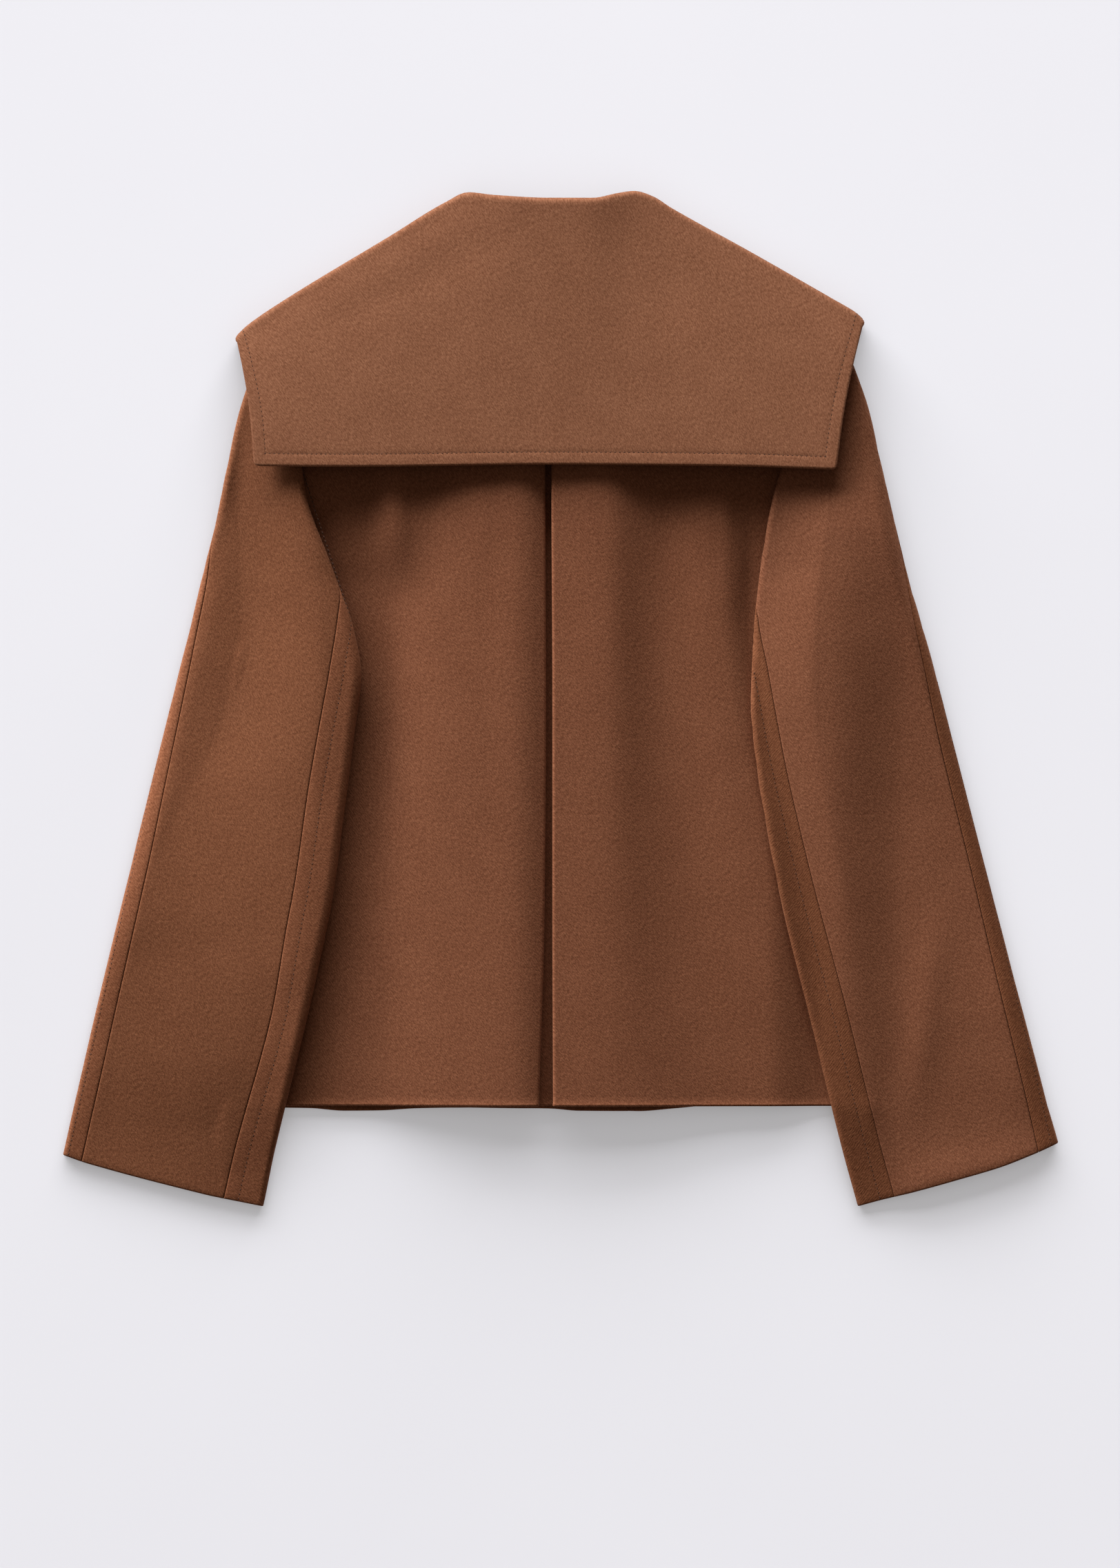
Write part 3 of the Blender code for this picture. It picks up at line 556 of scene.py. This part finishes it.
# Collar: a wide cape of two plies that rolls over at the neck and over both shoulders
collar = {
    "top": ((-215, 247), (-213.5, 249.8), (-211, 252.6), (-206, 257), (-184, 272), (-108, 318), (-70, 341),
            (-56, 347), (-38, 345), (0, 343), (30, 343), (48, 346.5), (59, 348), (70, 345), (83, 337),
            (139, 306), (196, 273.5), (207, 267.2), (212, 263.8), (214.5, 261), (216, 258)),
    "edge": ((-203, 158.6), (-140, 158.1), (0, 159.6), (120, 158.6), (197, 156.1)),
    "taper": {"left": 0.942, "right": 0.912},  # lower width as a share of the upper
    "bow": 0.011,  # the side edges bend in by this share
    # middle of the ply at the lower edge and at the fold, by the distance from the centre
    "edgeLevel": ((0, 21.0), (80, 21.2), (130, 22.0), (165, 22.4), (216, 22.2)),
    "foldLevel": ((0, 23.6), (25, 23.0), (45, 20.6), (60, 18.6), (90, 16.6), (150, 15.4), (216, 15.2)),
    "roll": 0.5,  # it falls this much more in the last of the way
    "rollWidth": 26,
    "rollBend": 1.5,
    "standLevel": 11.6,
    "foldReach": 1.8,
    "return": 22,  # under its own shoulder fold
    "neckTurn": (50, 72),
    # line in from these borders, with a stretch left out at both ends, as far as it lies on top
    "stitches": {"inset": 8.6, "borders": ((2, 8.6, 8.6), (0, 8.6, 0), (1, 8.6, 0)),
                 "lowest": 12, "facing": -1},
    "groove": (0.24, 1.1),  # depth and half width of the sunk stitch line
    "lip": (-0.04, 2.4),  # the full edge outside it
    "lipIn": 4.4,
    "fade": (14, 2, 4),  # both end round the fold
    "corner": 4.0,
    "edgeRound": 0.4,  # share of the ply
    "stations": 120,
    "rows": (52, 15, 5),  # on the flap, round the fold, below
    "foldSteps": (0, 2, 5),
    "underSteps": ((0.15,), (0, 0.03, 0.1)),
    "creases": ((-165, 248, -28, 318, 13, -0.45), (48, 330, 92, 262, 22, -1.0)),
    "flat": (0.44, 0.25),
}
collarEdge = (0, 0.2, 0.6, 1.2, 2.0, 4.5, 6.6, 7.6, 8.2, 8.6, 9.0, 9.6, 10.8, 13)


def collarLine(x):
    # lower edge point, way to the fold and length of the collar's section at x
    fold = np.stack([x, curve(collar["top"], x)], -1)
    taper = np.where(x < 0, collar["taper"]["left"], collar["taper"]["right"])
    edge = np.stack([x * taper, curve(collar["edge"], x * taper)], -1)
    length = np.linalg.norm(fold - edge, axis=-1)
    return edge, (fold - edge) / length[..., None], length


def roundCorner(a, b, radius):
    # bends the square corner of two distances from edges into a rounded one
    u, v = np.clip(1 - a / radius, 0, 1), np.clip(1 - b / radius, 0, 1)
    inside = (u > 0) & (v > 0)
    return (np.where(inside, radius * (1 - u * np.sqrt(1 - v * v / 2)), a),
            np.where(inside, radius * (1 - v * np.sqrt(1 - u * u / 2)), b))


def buildCollar(material):
    first, last = collar["top"][0][0], collar["top"][-1][0]
    station = ladder(last - first, collar["stations"], collarEdge, collarEdge).T + first
    flapRows, turnRows, underRows = collar["rows"]
    edge, way, length = collarLine(station)
    neck = 1 - ramp(*collar["neckTurn"], np.abs(station))
    atEdge, atFold = (curve(collar[k], np.abs(station)) for k in ("edgeLevel", "foldLevel"))
    ply = jacket["collarPly"]
    low = ply / 2 + neck * (collar["standLevel"] - ply / 2)
    halfHeight = (atFold - collar["roll"] * (1 - neck) - low) / 2
    reach = np.minimum(halfHeight, collar["foldReach"])
    centre = length - ply / 2 - reach
    stand = curve(collar["top"], station) - curve(back["top"], station) - jacket["seamGap"]
    backEnd = length - (neck * stand + (1 - neck) * collar["return"])
    flap = ladder(centre[:, 0], flapRows, collarEdge, collar["foldSteps"])  # up from the lower edge
    side = np.minimum(station - first, last - station) + 0 * flap
    bentUp, bentSide = roundCorner(flap, side, collar["corner"])
    roll = ramp(collar["rollWidth"], 0, centre - flap)**collar["rollBend"]
    flapZ = atEdge + (atFold - atEdge) * (flap / centre)**2 - collar["roll"] * (1 - neck) * roll
    turn = np.linspace(np.pi / 2, -np.pi / 2, turnRows)[1:]
    underD = centre + (backEnd - centre) * ladder(1.0, underRows, *collar["underSteps"])
    d = np.hstack([bentUp, centre + reach * np.cos(turn), underD])
    z = np.hstack([flapZ, low + halfHeight * (1 + np.sin(turn)), low + 0 * underD])
    bow = 1 - collar["bow"] * np.sin(np.pi * np.clip(d / length, 0, 1))
    flat = edge + way * d[:, :, None]
    pastFlap = np.zeros((len(station), d.shape[1] - flap.shape[1]))
    shift = np.hstack([bentSide - side, pastFlap])
    x = flat[:, :, 0] * bow - np.sign(station) * shift
    onFlap = np.hstack([np.ones_like(flap), pastFlap])
    z = z + onFlap * creases(collar["creases"], x, flat[:, :, 1])
    mid = np.stack([x, flat[:, :, 1], z], -1)[::-1]
    down, up, over = borders(mid)[:3]
    near = np.minimum(np.minimum(down, up), over)
    relief = (trough(collar["groove"], near - collar["stitches"]["inset"])
              + trough(collar["lip"], near - collar["lipIn"]))
    gone, full, past = collar["fade"]
    relief = relief * ramp(gone, full, np.maximum(0, over - (centre[::-1] + past)))
    cut = np.stack([np.broadcast_to(station[::-1], over.shape), over], -1)
    return clothShell("collarCape", mid, cut, material, relief, ply, (ply * collar["edgeRound"],) * 4)


leaf = {
    "stations": (72, 210),
    "hem": 172,
    "front": 46,
    "side": 195,
    "edgeRound": 1.8,
    "columns": 30,
    "rows": 26,
    "flat": (0.17, 0.19),
}


def buildLeaf(side, material):
    # the collar's front end, flat on the floor under the shoulder
    sign = sides[side]
    first, last = leaf["stations"]
    station = ladder(last - first, leaf["columns"], collarEdge, collarEdge)[0] + first
    edge, way, length = collarLine(sign * station)
    start = edge + way * (length - collar["return"] - jacket["seamGap"])[:, None]
    share = (station - first) / (last - first)
    endX = sign * (leaf["front"] + share * (leaf["side"] - leaf["front"]))
    end = np.stack([endX, leaf["hem"] + 0 * share], -1)
    run = np.linalg.norm(end - start, axis=1)
    t = ladder(run, leaf["rows"], collarEdge[:5], collarEdge) / run[:, None]
    flat = start[:, None, :] + (end - start)[:, None, :] * t[:, :, None]
    ply = jacket["collarPly"]
    mid = np.concatenate([flat, np.full(flat.shape[:2] + (1,), ply / 2)], axis=2)
    return clothShell("collarLeaf" + side.title(), mid, flat, material, 0, ply, (leaf["edgeRound"],) * 4)


# Sleeves: two panels each, seen flat with along from the cuff and across from the outer edge
sleeve = {
    "length": 572,
    # along, outer edge, inner edge, seams in from those edges
    "shape": {
        "left": ((0, 0, 143, 13.7, 27.8), (40, -0.8, 141.5, 13.9, 26.7), (120, -1, 142, 13.2, 26),
                 (200, -0.9, 140.3, 12.2, 29), (280, -0.6, 132.8, 9.6, 28.4), (340, -0.2, 126.3, 7.4, 25.8),
                 (364, 0, 123.6, 6.3, 24.5), (400, 0, 109.1, 5, 12.9), (427, 0.2, 91.5, 2.2, 0),
                 (440, 0.4, 82.7, 0.6, -3), (480, -0.8, 56.6, -4, -6), (520, -1.9, 42, -6, -6),
                 (545, -0.5, 31, -6, -6), (572, 2, 17, -5, -5)),
        "right": ((0, 0, 144.7, 15.4, 25.8), (40, 0.4, 145.3, 13.6, 26), (120, 0.2, 143.9, 12.1, 26),
                  (200, -0.2, 142.3, 10.4, 24.5), (280, -0.9, 136.9, 9.8, 20.9),
                  (340, -1.4, 128.5, 7.5, 16.5), (364, -1.1, 121.6, 6.2, 11.6), (400, -0.2, 109.9, 3, 2.5),
                  (427, -0.7, 99.4, 1, -2), (440, -1, 94.1, 0.2, -4), (480, -2.1, 75.1, -4, -6),
                  (520, -3.6, 50, -6, -6), (545, -2, 34, -6, -6), (572, 1, 18, -5, -5)),
    },
    # thickness at the outer and the inner edge
    "edges": {"left": ((0, 4.8, 4.8), (30, 4.8, 5.0), (120, 6.0, 11.6), (440, 7.0, 11.6), (480, 7.2, 8.6),
                       (520, 6.6, 6.6), (545, 5.6, 5.6), (572, 4.8, 4.8)),
              "right": ((0, 6.4, 4.6), (120, 6.4, 4.6), (440, 6.4, 4.6), (480, 6.4, 5.4), (520, 6.0, 6.0),
                        (545, 5.6, 5.6), (572, 4.8, 4.8))},
    "corner": {"left": (-334.9, -314.0), "right": (350.1, -305.4)},  # outer end of the cuff
    "angle": {"left": 13.6, "right": 14.9},
    "skew": {"left": 2.2, "right": 7.6},  # the cuff's inner end hangs lower
    "skewReach": 200,
    # how far the cuff bows out, by the distance from its outer end
    "bow": {"left": ((0, 0.6), (20, 2.2), (60, 2.8), (100, 2.6), (130, 1.2), (144, 0.4)),
            "right": ((0, 1.0), (20, 3.2), (45, 4.6), (75, 3.8), (105, 2.6), (130, 0.8), (144, 0.2))},
    "bowReach": 130,
    "cuffWidth": 144,
    "bed": 0.7,  # clear of the back that it lies on
    "slope": (38, 4),  # it comes down to the floor beside the body between these
    "cuffDrop": (-345, -281),  # below the hem it sinks to the floor
    # y, height of the outer and the inner part of the upper side, and where it rises between them
    "upper": {
        "left": ((-350, 4.8, 5.0, 300, 196), (-320, 4.8, 6.4, 300, 194), (-300, 4.9, 8.0, 300, 190),
                 (-280, 5.4, 10.8, 300, 186), (-250, 6.2, 14.2, 300, 180), (-213, 6.8, 17.0, 296, 172),
                 (-180, 7.8, 18.4, 290, 168), (-146, 9.4, 18.4, 284, 164), (-80, 10.4, 18.2, 256, 161),
                 (-13, 9.2, 19.0, 224, 157), (53, 9.0, 19.0, 212, 156), (110, 9.2, 18.4, 213, 164),
                 (160, 9.6, 17, 218, 172), (250, 9.6, 12, 224, 180)),
        "right": ((-350, 7.6, 4.8, 262, 212), (-320, 7.6, 6.4, 260, 206), (-280, 8.0, 9.8, 254, 200),
                  (-250, 8.4, 12.0, 250, 200), (-213, 8.8, 14.0, 246, 198), (-146, 8.8, 15.4, 244, 196),
                  (-80, 9.2, 16.4, 244, 191), (-13, 11.0, 17.4, 246, 192), (53, 13.8, 18.8, 250, 190),
                  (110, 15.0, 18.4, 262, 196), (160, 13.8, 14.8, 258, 196), (250, 10.6, 11.0, 236, 190)),
    },
    "bent": {"left": 0.5, "right": 1.0},  # 0 for an even rise, 1 for one that begins and ends softly
    "least": 4.4,  # its two layers with nothing between them
    "rollIn": {"left": (32, 2.0), "right": (43, 1.15)},  # width and bend of the roll along the inner edge
    "rollOut": {"left": 15, "right": 10},
    "square": {"left": 1.0, "right": 0.3},  # below 1 the inner edge turns late, close to its rim
    "seamGap": {"left": (0.14, 0.14), "right": (0.25, 0.14)},  # at the outer and the inner seam
    "stitches": {"inset": 9.8, "borders": ((2, 1, 0), (3, 1, 0)), "lowest": 0, "facing": 0.2},
    "seamDip": (0.09, 1.6),  # depth and half width
    "stitchDip": (0.09, 1.0),
    "band": {"height": 0.05, "rise": (0.2, 2.5), "fall": (7.5, 10.5)},  # between seam and stitch
    "bandFrom": (2.5, 5.0),  # none of it where the sleeve rests on the floor
    "seamRound": 0.4,
    "creases": {
        "left": (),
        "right": ((266, -160, 252, -278, 12, 1.1), (306, -185, 326, -290, 13, 0.9),
                  (346, -312, 250, -336, 15, 1.3)),
    },
    "rows": 150,
    "columns": {"back": 40, "front": 76},
    "topSteps": (0, 0.5, 1.5),
    "flat": {"back": (0.115, 0.58), "front": (0.19, 0.58)},
}
seamEdge = (0, 0.15, 0.5, 1.2, 2.2, 3.6, 6.0)
stitchSide = (0, 0.15, 0.5, 1.2, 2.4, 4.5, 7.0, 8.6, 9.3, 9.8, 10.3, 11.0, 12.6, 15)


def sleevePlace(side, along, across):
    # x and y of a point of the flat sleeve
    angle = np.radians(sleeve["angle"][side])
    skew = sleeve["skew"][side] * (1 - ramp(0, sleeve["skewReach"], along)) * across / sleeve["cuffWidth"]
    bow = curve(sleeve["bow"][side], across) * (1 - ramp(0, sleeve["bowReach"], along))
    hang = along - skew - bow
    cornerX, cornerY = sleeve["corner"][side]
    x = cornerX - sides[side] * (hang * np.sin(angle) + across * np.cos(angle))
    return x, cornerY + hang * np.cos(angle) - across * np.sin(angle)


def sleeveBed(x, y):
    # height of what the sleeve lies on
    bodyY = np.maximum(y, back["hem"])
    outside = np.abs(x) - curve(jacket["side"], bodyY)
    bed = backLevel(x, bodyY) + jacket["cloth"] / 2 + sleeve["bed"]
    lift = bed * ramp(*sleeve["slope"], outside) * np.interp(y, sleeve["cuffDrop"], (0, 1))
    return np.maximum(lift, (jacket["leafLift"] + jacket["layGap"]) * underCollar(y))


def sleeveTop(side, x, y):
    # height of the upper side's middle
    low, high, begin, stop = curves(sleeve["upper"][side], y)
    t = np.clip((begin - np.abs(x)) / (begin - stop), 0, 1)
    rise = t + sleeve["bent"][side] * t * (1 - t) * (2 * t - 1)
    return low + (high - low) * rise + creases(sleeve["creases"][side], x, y)


def sleevePoint(side, along, walk, ring):
    # point of the sleeve's middle surface; walk goes from the outer edge over the top and back below
    outer, inner, start, end, half = ring  # radius of its two edges, where their rounding ends
    walk = np.mod(walk, 2 * half)
    over = walk <= half
    step = np.where(over, walk, 2 * half - walk)
    nearOut = np.clip(step / outer, 0, np.pi / 2)
    nearIn = np.clip((half - step) / inner, 0, np.pi / 2)
    across = start + step - outer * np.pi / 2
    across = np.where(nearOut < np.pi / 2, start - outer * np.cos(nearOut), across)
    square = np.where(over, sleeve["square"][side], 1)
    across = np.where(nearIn < np.pi / 2, end + inner * np.cos(nearIn)**square, across)
    topness = np.sin(nearOut) * np.sin(nearIn)
    radius = outer + (inner - outer) * ramp(start, end, across)
    height = jacket["cloth"] / 2 + radius * (1 + np.where(over, topness, -topness))
    x, y = sleevePlace(side, along, across)
    lift = sleeveBed(x, y)
    fromOut = across - (start - outer)
    fromIn = (end + inner) - across
    rollIn, bend = sleeve["rollIn"][side]
    rolled = 1 - np.clip(1 - fromIn / rollIn, 0, 1)**bend
    rolled = rolled * (1 - np.clip(1 - fromOut / sleeve["rollOut"][side], 0, 1)**2)
    thick = 2 * radius + jacket["cloth"]
    bulge = (np.maximum(sleeveTop(side, x, y) - lift, sleeve["least"]) - thick) * rolled
    return np.stack([x, y, lift + height + np.where(over, bulge * topness, 0)], -1)


def seamBand(away):
    # slightly raised between the seam and its topstitch, sunk at both
    band = sleeve["band"]
    raised = band["height"] * ramp(*band["rise"], away) * (1 - ramp(*band["fall"], away))
    stitchDip = trough(sleeve["stitchDip"], away - sleeve["stitches"]["inset"])
    return raised + trough(sleeve["seamDip"], away) + stitchDip


def buildSleeve(side, backMaterial, frontMaterial):
    along = ladder(sleeve["length"], sleeve["rows"], roundEdge, sleeve["topSteps"])[0]
    outer, inner, outerSeam, innerSeam = curves(sleeve["shape"][side], along)
    radii = [(thick - jacket["cloth"]) / 2 for thick in curves(sleeve["edges"][side], along)]
    start, end = outer + jacket["cloth"] / 2 + radii[0], inner - jacket["cloth"] / 2 - radii[1]
    half = end - start + (radii[0] + radii[1]) * np.pi / 2
    ring = tuple(v[:, None] for v in (*radii, start, end, half))
    gapOut, gapIn = np.array(sleeve["seamGap"][side]) / 2
    edges = (jacket["edgeRound"],) * 2 + (sleeve["seamRound"],) * 2

    def panelPoints(panel, begin, stop, steps):
        order = -sides[side]  # so that both sleeves face outwards
        walk = (begin[:, None] + ladder(stop - begin, sleeve["columns"][panel], steps, steps))[:, ::order]
        return walk, sleevePoint(side, along[:, None], walk, ring)

    _, mid = panelPoints("back", outerSeam + gapOut, half - innerSeam - gapIn, seamEdge)
    dip = sum(trough(sleeve["seamDip"], away) for away in borders(mid)[2:])
    upper = clothShell("sleeveBack" + side.title(), mid, mid[:, :, :2], backMaterial, dip, edges=edges)
    walk, mid = panelPoints("front", half - innerSeam + gapIn, 2 * half + outerSeam - gapOut, stitchSide)
    band = sum(seamBand(away) for away in borders(mid)[2:]) * ramp(*sleeve["bandFrom"], mid[:, :, 2])
    cut = np.stack([walk, np.broadcast_to(along[:, None], walk.shape)], -1)
    return upper, clothShell("sleeveFront" + side.title(), mid, cut, frontMaterial, band, edges=edges)


# Topstitching as joined small stitches
stitch = {
    "pitch": 3.2,
    "length": 2.4,
    "radius": 0.42,
    "sunk": 0.16,
    "near": 0.8,  # the direction is taken over this distance both ways
    # rings of a stitch: place, thickness and dip
    "reach": (-1, -0.62, 0, 0.62, 1),
    "fat": (0.25, 0.85, 1, 0.85, 0.25),
    "dip": (-0.42, -0.1, 0, -0.1, -0.42),
    "sides": 5,
}


def insetLine(panel, border, inset):
    # line on a panel's face, with its normals, at a distance from one of its borders
    away = panel["borders"][border]
    grids = panel["top"], panel["normal"]
    if border < 2:
        away, grids = away.T, [g.transpose(1, 0, 2) for g in grids]
    order = slice(None) if border in (0, 2) else slice(None, None, -1)
    return [np.array([[np.interp(inset, a[order], g[order, k]) for k in range(3)]
                      for a, g in zip(away, grid)]) for grid in grids]


def sewLine(line, normal, skip):
    # centre, direction and normal of each stitch on a line, with a stretch left out at both ends
    run = np.concatenate([[0], np.linalg.norm(np.diff(line, axis=0), axis=1).cumsum()])
    place = np.arange(skip[0] + stitch["pitch"] / 2, run[-1] - skip[1], stitch["pitch"])

    def at(where, values):
        return np.stack([np.interp(where, run, values[:, k]) for k in range(3)], -1)

    ahead = at(place + stitch["near"], line) - at(place - stitch["near"], line)
    return at(place, line), ahead, at(place, normal)


def sewStitches(name, panel, seams, material):
    # every stitch is a small capsule whose ends dip into the cloth
    reach, fat, dip = (np.array(stitch[k])[None, :, None, None] for k in ("reach", "fat", "dip"))
    reach, fat = reach * stitch["length"] / 2, fat * stitch["radius"]
    turn = np.linspace(0, 2 * np.pi, stitch["sides"] + 1)[None, None, :-1, None]
    capsules = []
    for border, *skip in seams["borders"]:
        line, normal = insetLine(panel, border, seams["inset"])
        keep = (line[:, 2] > seams["lowest"]) & (normal[:, 2] > seams["facing"])
        centre, direction, out = sewLine(line[keep], normal[keep], skip)
        direction /= np.linalg.norm(direction, axis=1, keepdims=True)
        side = np.cross(direction, out)
        side /= np.linalg.norm(side, axis=1, keepdims=True)
        c, d, s, n = (v[:, None, None, :] for v in (centre, direction, side, np.cross(side, direction)))
        height = fat * np.sin(turn) + dip - stitch["sunk"]
        capsules.append(c + d * reach + s * (fat * np.cos(turn)) + n * height)
    points = np.concatenate(capsules).reshape(-1, 3)
    ring = np.arange(len(stitch["reach"]) * stitch["sides"]).reshape(-1, stitch["sides"])
    beside = np.roll(ring, -1, axis=1)
    wall = np.stack([ring[:-1], beside[:-1], beside[1:], ring[1:]], -1).reshape(-1, 4).tolist()
    ends = [ring[0, ::-1].tolist(), ring[-1].tolist()]
    starts = range(0, len(points), ring.size)
    faces = [[first + n for n in face] for first in starts for face in wall + ends]
    print(name, "stitches:", len(starts))
    return addPiece(name, smoothMesh(name, points, faces, material))


# Buttons: two columns of three, face down under the outer front
button = {
    "column": 34,
    "rows": (66, -40, -146),
    "radius": 12.5,
    "thick": 3.0,
    "edge": 0.8,
    "rim": 2.4,
    "dish": (0.6, 0.9),  # width and depth of its wall
    "dishFloor": (1.2, 0.15),  # and of the hollow in it
    "hole": 1.05,
    "holeOff": 2.3,
    "drill": 12,
    "sides": (48, 16),  # round the button and a hole
    "sharp": 32,  # degrees
}


def addCylinder(around, radius, depth, x=0, y=0):
    # centred in the button's thickness
    bpy.ops.object.select_all(action="DESELECT")
    bpy.ops.mesh.primitive_cylinder_add(vertices=around, radius=radius * mm, depth=depth * mm,
                                        location=(x * mm, y * mm, button["thick"] / 2 * mm))
    return bpy.context.object


def modelButton(material):
    sidesRound, sidesHole = button["sides"]
    made = addCylinder(sidesRound, button["radius"], button["thick"])
    bpy.ops.object.transform_apply(location=True, rotation=False, scale=False)
    bpy.ops.object.mode_set(mode="EDIT")
    bpy.ops.mesh.select_mode(type="EDGE")
    bpy.ops.object.mode_set(mode="OBJECT")
    for edge in made.data.edges:  # the two rims
        a, b = (made.data.vertices[v].co for v in edge.vertices)
        edge.select = abs(a.z - b.z) < 1e-6
    bpy.ops.object.mode_set(mode="EDIT")
    bpy.ops.mesh.bevel(offset=button["edge"] * mm, segments=4, affect="EDGES")
    bpy.ops.mesh.select_mode(type="FACE")
    bpy.ops.object.mode_set(mode="OBJECT")
    for face in made.data.polygons:  # the face that lies down
        face.select = face.normal.z < -0.99 and len(face.vertices) == sidesRound
    bpy.ops.object.mode_set(mode="EDIT")
    bpy.ops.mesh.inset(thickness=button["rim"] * mm)
    for width, depth in (button["dish"], button["dishFloor"]):
        bpy.ops.mesh.inset(thickness=width * mm, depth=-depth * mm)
    bpy.ops.object.mode_set(mode="OBJECT")
    off = button["holeOff"]
    for x, y in ((-off, -off), (-off, off), (off, -off), (off, off)):
        drill = addCylinder(sidesHole, button["hole"], button["drill"], x, y)
        drill.select_set(False)
        made.select_set(True)
        bpy.context.view_layer.objects.active = made
        cut = made.modifiers.new("hole", "BOOLEAN")
        cut.operation, cut.object, cut.solver = "DIFFERENCE", drill, "EXACT"
        bpy.ops.object.modifier_apply(modifier="hole")
        bpy.data.objects.remove(drill, do_unlink=True)
    bpy.ops.object.shade_smooth_by_angle(angle=np.radians(button["sharp"]))
    made.data.materials.clear()
    made.data.materials.append(material)
    return made


def buildButtons(material):
    model = modelButton(material)
    for side, sign in sides.items():
        x = sign * button["column"] + jacket["centreBack"]
        for order, y in enumerate(button["rows"], start=1):
            name = "button" + side.title() + str(order)
            mesh = model.data.copy()
            mesh.name = name
            mesh.transform(Matrix.Translation(Vector((x * mm, y * mm, 0))))
            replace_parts(addPiece(name, mesh), f"button_{side}_{order}")
    bpy.data.objects.remove(model, do_unlink=True)
    print("buttons:", len(sides) * len(button["rows"]))


# Studio: pale floor, low soft light from the upper left, even light all round
studio = {
    "floorSize": 60.0,
    "lights": {  # metres away, degrees left of the neck, half width, lowest, highest, power
        "keyJacket": (5.0, 25.0, 36.0, 3.0, 22.0, 1290.0),
        "keyCollar": (5.0, 25.0, 36.0, 12.0, 34.0, 850.0),
        "keyFloor": (16.0, 8.0, 40.0, 2.0, 17.0, 18200.0),
        "highFloor": (16.0, 8.0, 45.0, 17.0, 32.0, 7800.0),
    },
    "over": (6.0, 19.0, 900.0),  # height, width and power of the light over the floor
    "keyColour": (1.0, 0.985, 0.96),
    "around": (1.0, 0.86, 0.72, 1),
    "aroundStrength": 0.15,
    "cameraFar": 5.0,
    "seeTo": 200,
    "frameHeight": 1.080,  # metres of floor in the picture's height
    "lookAt": (0.0, -0.0594),
}


def areaLight(name, width, height, power):
    data = bpy.data.lights.new(name, "AREA")
    data.shape = "RECTANGLE"
    data.size, data.size_y = width, height
    data.energy, data.color = power, studio["keyColour"]
    return addObject(name, data)


def buildStudio():
    bpy.ops.object.select_all(action="DESELECT")
    bpy.ops.mesh.primitive_plane_add(size=studio["floorSize"], location=(0, 0, 0))
    floor = bpy.context.object
    floor.name = "floor"
    floor.data.materials.append(floorMaterial())
    for name, (far, left, spread, lowest, highest, power) in studio["lights"].items():
        turn = np.radians(left)
        low, high = (far * np.tan(np.radians(a)) for a in (lowest, highest))
        key = areaLight(name, 2 * far * np.tan(np.radians(spread)), high - low, power)
        key.location = (-far * np.sin(turn), far * np.cos(turn), (low + high) / 2)
        key.rotation_euler = Vector((np.sin(turn), -np.cos(turn), 0)).to_track_quat("-Z", "Y").to_euler()
    height, width, power = studio["over"]
    areaLight("overFloor", width, width, power).location = (0, 0, height)
    world = bpy.data.worlds.new("around")
    bpy.context.scene.world = world
    world.use_nodes = True
    sky = world.node_tree.nodes["Background"]
    sky.inputs["Color"].default_value = studio["around"]
    sky.inputs["Strength"].default_value = studio["aroundStrength"]
    lens = bpy.data.cameras.new("camera")
    lens.lens = lens.sensor_width * studio["cameraFar"] / studio["frameHeight"]
    lens.clip_end = studio["seeTo"]
    camera = addObject("camera", lens)
    camera.location = (*studio["lookAt"], studio["cameraFar"])
    bpy.context.scene.camera = camera
    bpy.context.scene.view_settings.view_transform = "Standard"
    print("studio: floor, light and camera")
    return floor


floor = buildStudio()
cloth = {name: woolMaterial(name, *cut) for name, cut in wool["cuts"].items()}
panels = {"back": buildBack(cloth["woolBody"]), "collar": buildCollar(cloth["woolCollar"])}
for side in sides:
    panels["front_" + side] = buildFront(side, cloth["woolBody"])
    panels["collar_leaf_" + side] = buildLeaf(side, cloth["woolCollar"])
    panels["sleeve_back_" + side], panels["sleeve_front_" + side] = buildSleeve(
        side, cloth["woolSleeve" + side.title()], cloth["woolUnder" + side.title()])
print("panels:", len(panels))

sewing = threadMaterial()
sewn = {"collar": sewStitches("stitchesCollar", panels["collar"], collar["stitches"], sewing)}
for side in sides:
    sewn[side] = sewStitches("stitchesSleeve" + side.title(), panels["sleeve_front_" + side],
                             sleeve["stitches"], sewing)


def layFlat(node):
    panel = panels[node]
    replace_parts(panel["piece"], node)


layFlat("back")
layFlat("collar")
for side in sides:
    layFlat("front_" + side)
    layFlat("collar_leaf_" + side)
    layFlat("sleeve_back_" + side)
    layFlat("sleeve_front_" + side)
buildButtons(hornMaterial())


def lightOnly(name, pieces):
    lit = bpy.data.collections.new(name + "Lights")
    for piece in pieces:
        lit.objects.link(piece)
    bpy.data.objects[name].light_linking.receiver_collection = lit


cape = [panels["collar"]["piece"], sewn["collar"]]
others = [piece for piece in bpy.data.objects if piece.type == "MESH" and piece not in cape + [floor]]
for name in ("keyFloor", "highFloor", "overFloor"):
    lightOnly(name, [floor])
lightOnly("keyCollar", cape)
lightOnly("keyJacket", others)
print("lights: each on its own pieces")
